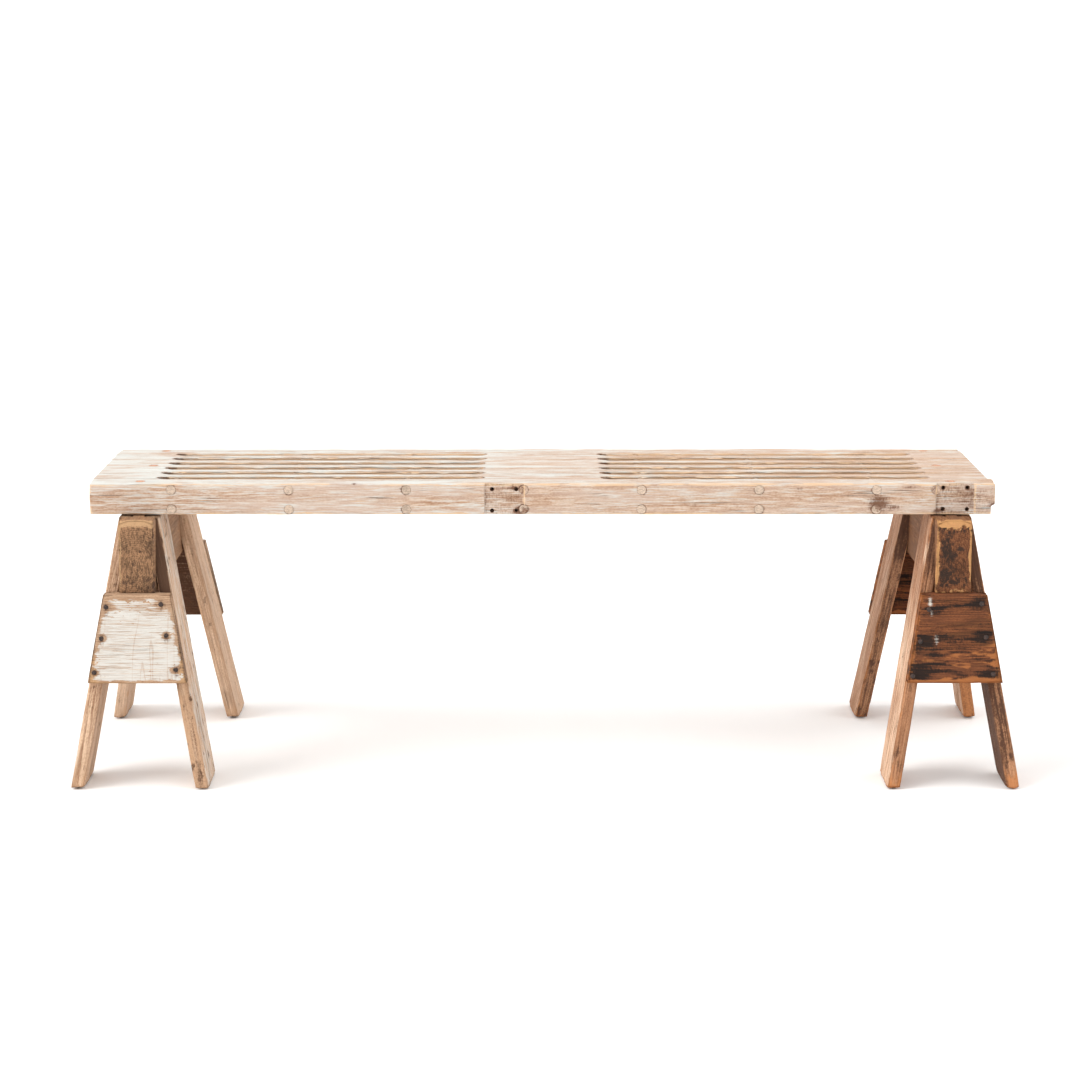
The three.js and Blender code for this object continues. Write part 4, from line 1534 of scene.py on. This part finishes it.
def left_beam_marks(points, normals):
    """A pale top, part wear and part painted highlight, and a pale worn left arris on the front end, painted
    shade along its right-hand rim, a reddish pith and a small black hole.
    """
    flat = points[..., [0, 2]]
    middle = beam_middle("left")
    top = smoothstep(0.366, 0.380, points[..., 2])
    edge = smoothstep(6 * MM, 1 * MM, points[..., 0] - middle + beam_half())
    hole = near(flat, (middle + 6 * MM, 0.339), (1.8 * MM, 2.2 * MM))
    pith = near(flat, (middle - 3.5 * MM, 0.322), (5 * MM, 6 * MM))
    foot = smoothstep(0.31, 0.285, points[..., 2])
    # Painted shade on the right-hand rim of the front end, away from the light.
    rim = smoothstep(5 * MM, 1 * MM, middle + beam_half() - points[..., 0])
    patches = smoothstep(0.42, 0.62, rough_noise(points, (0.012, 0.012, 0.02), 83)) * (1 - top)
    stain = 1.2 * hole + 0.4 * pith + 0.30 * foot + 0.35 * rim + 0.2 * patches
    # The pale top is partly a painted highlight, where the rounded top catches the light.
    return front_end(points) * (0.75 * top + 0.5 * edge), front_end(points) * stain, 0.0


def right_beam_marks(points, normals):
    """A black weathered left side and foot, a reddish middle, and a fringe of fresh orange."""
    middle = beam_middle("right")
    aside = (points[..., 0] - middle) / beam_half()
    low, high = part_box("right_beam")
    up = (points[..., 2] - (low[2] + high[2]) / 2) / ((high[2] - low[2]) / 2)
    blots = rough_noise(points, (0.011, 0.016, 0.018), 71)
    mottle = rough_noise(points, (0.004, 0.016, 0.006), 77)
    rim = np.maximum(np.maximum(np.abs(aside), up + 0.12), -up - 0.05)
    core = smoothstep(0.95, 0.62, rim)
    sooty = smoothstep(0.25, -0.5, aside) * (0.26 + 0.5 * smoothstep(0.38, 0.6, blots))
    sooty = sooty + 0.55 * smoothstep(-0.35, -0.85, up) * smoothstep(0.4, 0.55, mottle)
    fringe = smoothstep(0.74, 0.95, rim + 0.25 * (mottle - 0.5)) * (0.5 + 0.9 * smoothstep(0.4, 0.6, blots))
    flat = points[..., [0, 2]]
    spot = near(flat, (middle + 8 * MM, 0.343), (7 * MM, 4 * MM))
    spot = spot + near(flat, (middle - 1 * MM, 0.331), (5 * MM, 5 * MM))
    splinters = 0.8 * smoothstep(0.62, 0.72, up) * smoothstep(0.86, 0.78, up) * smoothstep(0.52, 0.6, mottle)
    dark = core * (sooty + 0.25 * smoothstep(0.45, 0.6, mottle) + 0.75 * spot) + splinters
    return front_end(points) * 0.65 * fringe * (1 - splinters), front_end(points) * dark, 0.0


def beams():
    for horse, marks in (("left", left_beam_marks), ("right", right_beam_marks)):
        material, slot, seed = LOOKS[horse]["beam"]
        legs_cut = leg_cutter(horse)
        worn_board(Board(f"{horse}_beam", "Y"), material, slot, seed, Wear(1.2, 1.6, 1.5, 0.4, 0.3),
                   radius=0.8, around=2.0, end_rings=22, pith=BEAM_PITH[horse], bare=beam_open,
                   shape=beam_shape(seed), marks=marks, cutters=(legs_cut, SCREW_CUTTER))
        bpy.data.objects.remove(legs_cut)


beams()
print("beams done")

# %% [markdown]
# ## Legs
#
# Each leg leans outwards and sideways, and its foot is cut level. A box with its corners moved
# gives the lean, and the wear is worked out before the lean, so it follows the grain. Every leg has
# its own history of paint drips, soot and scuffs, so each gets its own few marks. Painted shade
# darkens the faces that look to the front and the tops of the legs under the beam, and painted light
# brightens the left-facing sides of the right-hand sawhorse's legs.

# %% Legs
def foot_bite(seed):
    """Worn foot: its lower arrises are splayed and bitten."""

    def shape(local, size):
        low = smoothstep(14 * MM, 0.0, local[..., 0])
        rough = smooth_noise(local, (0.02, 0.012, 0.012), seed)
        edge = smoothstep(0.6, 1.0, np.abs(local[..., 1]) / (size[1] / 2))
        side = smoothstep(0.4, 1.0, np.abs(local[..., 2]) / (size[2] / 2))
        local[..., 0] += low * rough * (3.5 * MM * edge + 2.2 * MM * side)
        return local

    return shape


def leg_marks(horse, end, hand):
    """Wash, stains and rubbed places of one leg, in the world, with painted shade on faces that look to the
    front and under the beam, and painted light on the right-hand sawhorse's left-facing sides.
    """

    def marks(points, normals):
        x, y, z = np.moveaxis(points, -1, 0)
        foot = smoothstep(0.04, 0.0, z)
        lumps = rough_noise(points, (0.006, 0.006, 0.04), 31)
        knocks = smoothstep(0.70, 0.78, rough_noise(points, (0.007, 0.007, 0.016), 47))
        front = smoothstep(0.5, 0.9, -normals[..., 1])
        rightward = smoothstep(0.5, 0.9, normals[..., 0])
        leftward = smoothstep(0.5, 0.9, -normals[..., 0])
        # Painted shade on the legs' upper part, under the beam.
        under_beam_shade = smoothstep(0.27, 0.33, z)
        rubbed = 0.3 * foot
        stain = 0.3 * smoothstep(0.66, 0.74, lumps) + 0.5 * knocks
        wash = 0.0
        leg = (horse, end, hand)
        if horse == "left":
            rubbed = rubbed + 0.12 * front
        if horse == "right":
            # Painted light: the right-hand sawhorse's left-facing sides are made lighter with the wash tone.
            wash = wash + 0.48 * leftward
            # Painted shade: front faces darkened, more under the beam.
            stain = stain + front * (0.12 + 0.2 * smoothstep(0.42, 0.62, lumps) + 0.42 * under_beam_shade)
            rubbed = rubbed + 0.2 * front
        if leg == ("left", "front", "right"):
            wash = rightward * (0.26 + 0.3 * smoothstep(0.40, 0.56, lumps))
            # Painted shadow of the beam's end on this leg's front face near its top.
            stain = stain * (1 + rightward) + front * (0.24 + 0.9 * smoothstep(0.258, 0.280, z))
            rubbed = rubbed + 0.5 * front
        if leg == ("left", "back", "right"):
            wash = 0.12 * rightward
            rubbed = rubbed + 0.2 * front
            stain = stain + 0.5 * front * smoothstep(0.34, 0.36, z)
        if leg == ("left", "front", "left"):
            wash = 1.3 * front * near(points[..., [0, 2]], (-0.672, 0.062), (0.0035, 0.022))
        if leg == ("right", "front", "left"):
            wash = wash * (1 - 0.6 * smoothstep(0.2, 0.3, z))
            wash = wash + 0.7 * leftward * near(points[..., [1, 2]], (-0.175, 0.335), (0.012, 0.014))
            stain = stain + 0.18 * leftward * smoothstep(0.22, 0.32, z)
        if leg == ("right", "back", "left"):
            wash = wash * 0.6
            # Painted shade: a darker front face.
            stain = stain + 0.28 * front
        if leg == ("right", "front", "right"):
            wash = 0.0
            # Painted shade on the front face, more under the beam.
            stain = stain + 0.75 * leftward + front * (0.34 * smoothstep(0.03, 0.07, z) + 0.4 * under_beam_shade)
            rubbed = 0.9 * foot * front
        if leg == ("right", "back", "right"):
            # The front face's terracotta is partly wear and partly painted shade.
            rubbed = rubbed + 1.0 * front
            stain = 0.32 * front
        return rubbed, stain, wash

    return marks


def legs():
    for horse in HORSES:
        material, slot, first_seed = LOOKS[horse]["leg"]
        nail_holes = nail_cutter(horse)
        for row, end in enumerate(ENDS):
            for column, hand in enumerate(HANDS):
                seed = first_seed + 31 * row + 17 * column
                worn_board(Board(f"{horse}_leg_{end}_{hand}", "Z", leaning=True), material, slot, seed,
                           Wear(1.5, 1.8, 1.6, 0.45, 0.6), around=2.0,
                           pith=(-15 + 20 * column, 38 - 12 * row), shape=foot_bite(seed),
                           marks=leg_marks(horse, end, hand), cutters=(nail_holes,))
        bpy.data.objects.remove(nail_holes)


legs()
print("legs done")

# %% [markdown]
# ## Gussets
#
# The left-hand gusset was painted white, and the paint has gone from the edges, the top and round
# the nails. The right-hand one is dark with oil and burnt streaks, split between its top nails, and
# chewed to fresh orange wood below. Both are marks on the same kind of board: paint as a thin
# second shell would hide the grain that shows through it here.

# %% Gusset marks
# How much narrower half a gusset is at its top than at its foot.
GUSSET_TAPER = 23.5 * MM


def edge_distance(points, low, high):
    """How far in from the sloping sides of a gusset a point is, its box being low and high."""
    share = (points[..., 2] - low[2]) / (high[2] - low[2])
    half = (high[0] - low[0]) / 2 - GUSSET_TAPER * share
    return half - np.abs(points[..., 0] - (low[0] + high[0]) / 2)


def painted_gusset(points, normals, end, seats, low, high):
    """Paint everywhere but near the edges and nails, thin at the top, with rust below the nails."""
    ragged = rough_noise(points, (0.012, 0.05, 0.007), 17 + len(end), 4)
    flat = points[..., [0, 2]]
    below = high[2] - points[..., 2]
    above = points[..., 2] - low[2]
    side = np.minimum(edge_distance(points, low, high), 50 * MM)
    outwards = normals[..., 1] * (1.0 if end == "back" else -1.0)
    halo = sum(near(flat, (seat[0], seat[2]), (8.5 * MM, 6.5 * MM)) for seat in seats)
    run = sum(near(flat, (seat[0], seat[2] - 5 * MM), (3 * MM, 9 * MM)) for seat in seats)
    top = smoothstep(2 * MM, 8 * MM, below - 10 * MM * (ragged - 0.3))
    top = top * (0.52 + 0.48 * smoothstep(12 * MM, 46 * MM, below + 12 * MM * (ragged - 0.5)))
    foot = smoothstep(-1 * MM, 6 * MM, above - 10 * MM * (ragged - 0.3))
    flank = smoothstep(-4 * MM, 10 * MM, side - 16 * MM * (ragged - 0.35))
    bitten = np.clip(halo * (0.3 + 1.5 * ragged), 0, 1)
    coat = smoothstep(0.5, 0.9, outwards) * top * foot * flank * (1 - bitten)
    return 0.0, 0.3 * run + 0.35 * halo + 0.8 * smoothstep(0.2, 0.7, -outwards), coat


# Spots on a dark gusset: offset from its lower left-hand or right-hand corner and height, then
# half-width and half-height, all in millimetres.
SCARS = [("left", 55, 219, 28, 7), ("right", -12, 203, 12, 6), ("left", 30, 196, 30, 6)]
FOOT_BLOT = [("left", 22, 176, 30, 8)]
PAINT_DRIPS = [("left", 34, 268, 2.8, 6), ("left", 36, 252, 2, 4), ("left", 43, 214, 2, 6)]


def spots(flat, corners, listed):
    """The listed spots added up, each measured from the corner that it names."""
    return sum(near(flat, (corners[corner] + x * MM, z * MM), (wide * MM, high * MM))
               for corner, x, z, wide, high in listed)


def dark_gusset(points, normals, end, seats, low, high):
    """Oil round the nails, a crack between the top ones, burnt streaks, and a fresh orange edge."""
    ragged = rough_noise(points, (0.012, 0.05, 0.007), 17 + len(end), 4)
    flat = points[..., [0, 2]]
    x, z = points[..., 0], points[..., 2]
    corners = {"left": low[0], "right": high[0]}
    side = np.minimum(edge_distance(points, low, high), 50 * MM)
    shifts = [10 * MM if seat[0] < (low[0] + high[0]) / 2 else -4 * MM for seat in seats]
    blots = sum(near(flat, (seat[0] + shift, seat[2]), (15 * MM, 8 * MM))
                for seat, shift in zip(seats, shifts))
    crack = z - seats[0][2] - 2 * MM - 0.07 * (x - seats[0][0]) - 3 * MM * (ragged - 0.5)
    crack = np.exp(-((crack / (1.1 * MM)) ** 2))
    crack = crack * smoothstep(-12 * MM, 4 * MM, x - seats[0][0])
    crack = crack * smoothstep(4 * MM, -12 * MM, x - seats[1][0])
    seam = np.exp(-(((z - 200.5 * MM - 0.03 * (x - low[0])) / (1.2 * MM)) ** 2))
    scars = spots(flat, corners, SCARS) * smoothstep(0.35, 0.6, ragged)
    edge = smoothstep(8 * MM, 1 * MM, z - low[2] - 10 * MM * (ragged - 0.35))
    edge = np.maximum(edge, 0.5 * smoothstep(4 * MM, 0.0, side - 6 * MM * (ragged - 0.4)))
    streaks = rough_noise(points, (0.028, 0.05, 0.0055), 91 + len(end))
    patches = rough_noise(points, (0.020, 0.05, 0.009), 95 + len(end))
    low_half = smoothstep(245 * MM, 215 * MM, z)
    dark = 0.9 * blots + 0.9 * crack + 0.45 * seam + 0.65 * scars
    dark = dark + (0.15 + 0.4 * low_half) * smoothstep(0.48, 0.64, streaks)
    fresh = (0.25 + 0.45 * low_half) * smoothstep(0.46, 0.62, patches) * (1 - np.clip(dark, 0, 1))
    stain = (dark + 0.7 * spots(flat, corners, FOOT_BLOT)) * (1 - edge)
    return fresh + 0.8 * edge, stain, 0.85 * spots(flat, corners, PAINT_DRIPS)


def gusset_marks(horse, end):
    """The marks of a painted gusset on the left-hand sawhorse, and of a dark one on the other."""
    seats = [seat for seat, _ in nails_in(horse, end)]
    low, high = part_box(f"{horse}_gusset_{end}")
    face = painted_gusset if horse == "left" else dark_gusset

    def marks(points, normals):
        return face(points, normals, end, seats, low, high)

    return marks

# %% Gussets
def gusset_open(horse):
    """The gusset wears all round, but not where the beam rests on it."""
    middle = beam_middle(horse)

    def bare(points):
        under = smoothstep(0.036, 0.029, np.abs(points[..., 0] - middle))
        return 1.0 - under * smoothstep(0.270, 0.2755, points[..., 2])

    return bare


def gussets():
    for horse in HORSES:
        material, slot, first_seed = LOOKS[horse]["gusset"]
        nail_holes = nail_cutter(horse)
        for row, end in enumerate(ENDS):
            worn_board(Board(f"{horse}_gusset_{end}", "X", leaning=True), material, slot,
                       first_seed + 9 * row, GUSSET_WEAR[horse], radius=0.8, step=2.2, around=1.5,
                       pith=(70, 30), bare=gusset_open(horse), marks=gusset_marks(horse, end),
                       cutters=(nail_holes,))
        bpy.data.objects.remove(nail_holes)


gussets()
print("gussets done")

# %% [markdown]
# ## Nails
#
# The nails were hammered home, so no head is quite round or quite like the next. Each is a turned
# profile whose rings are pushed in and out by two slow waves round the head. One head copied to
# every place would be lighter, but the eye soon finds a repeated shape.

# %% Nails
def nails():
    """Domed heads, hammered a little out of round, standing just off the gusset."""
    profile = [(-NAIL_LENGTH, 0.2 * MM), (-NAIL_LENGTH + 3 * MM, NAIL_SHANK), (-1.0 * MM, NAIL_SHANK),
               (-0.2 * MM, NAIL_SHANK), (-0.1 * MM, 0.9 * NAIL_HEAD), (0.25 * MM, NAIL_HEAD),
               (0.6 * MM, 0.93 * NAIL_HEAD), (0.95 * MM, 0.7 * NAIL_HEAD), (1.1 * MM, 0.35 * NAIL_HEAD)]
    angle = np.linspace(0, 2 * math.pi, NAIL_SIDES, endpoint=False)
    for horse in HORSES:
        for end in ENDS:
            for n, (seat, way) in enumerate(nails_in(horse, end)):
                grid = turned_grid(profile, seat, way, NAIL_SIDES)
                centre = grid.mean(axis=1, keepdims=True)
                beaten = 1 - 0.09 * (0.5 + 0.5 * np.sin(2 * angle + n)) - 0.04 * np.cos(3 * angle + 2 * n)
                grid = centre + (grid - centre) * beaten[None, :, None]
                turned_piece(f"nail_{horse}_{end}_{n + 1}", grid, IRON, "iron", 1, 0.1 * n)


nails()
for helper in (DOWEL_CUTTER, SEAT_CUTTER, SCREW_CUTTER):
    bpy.data.objects.remove(helper)
print("nails done")
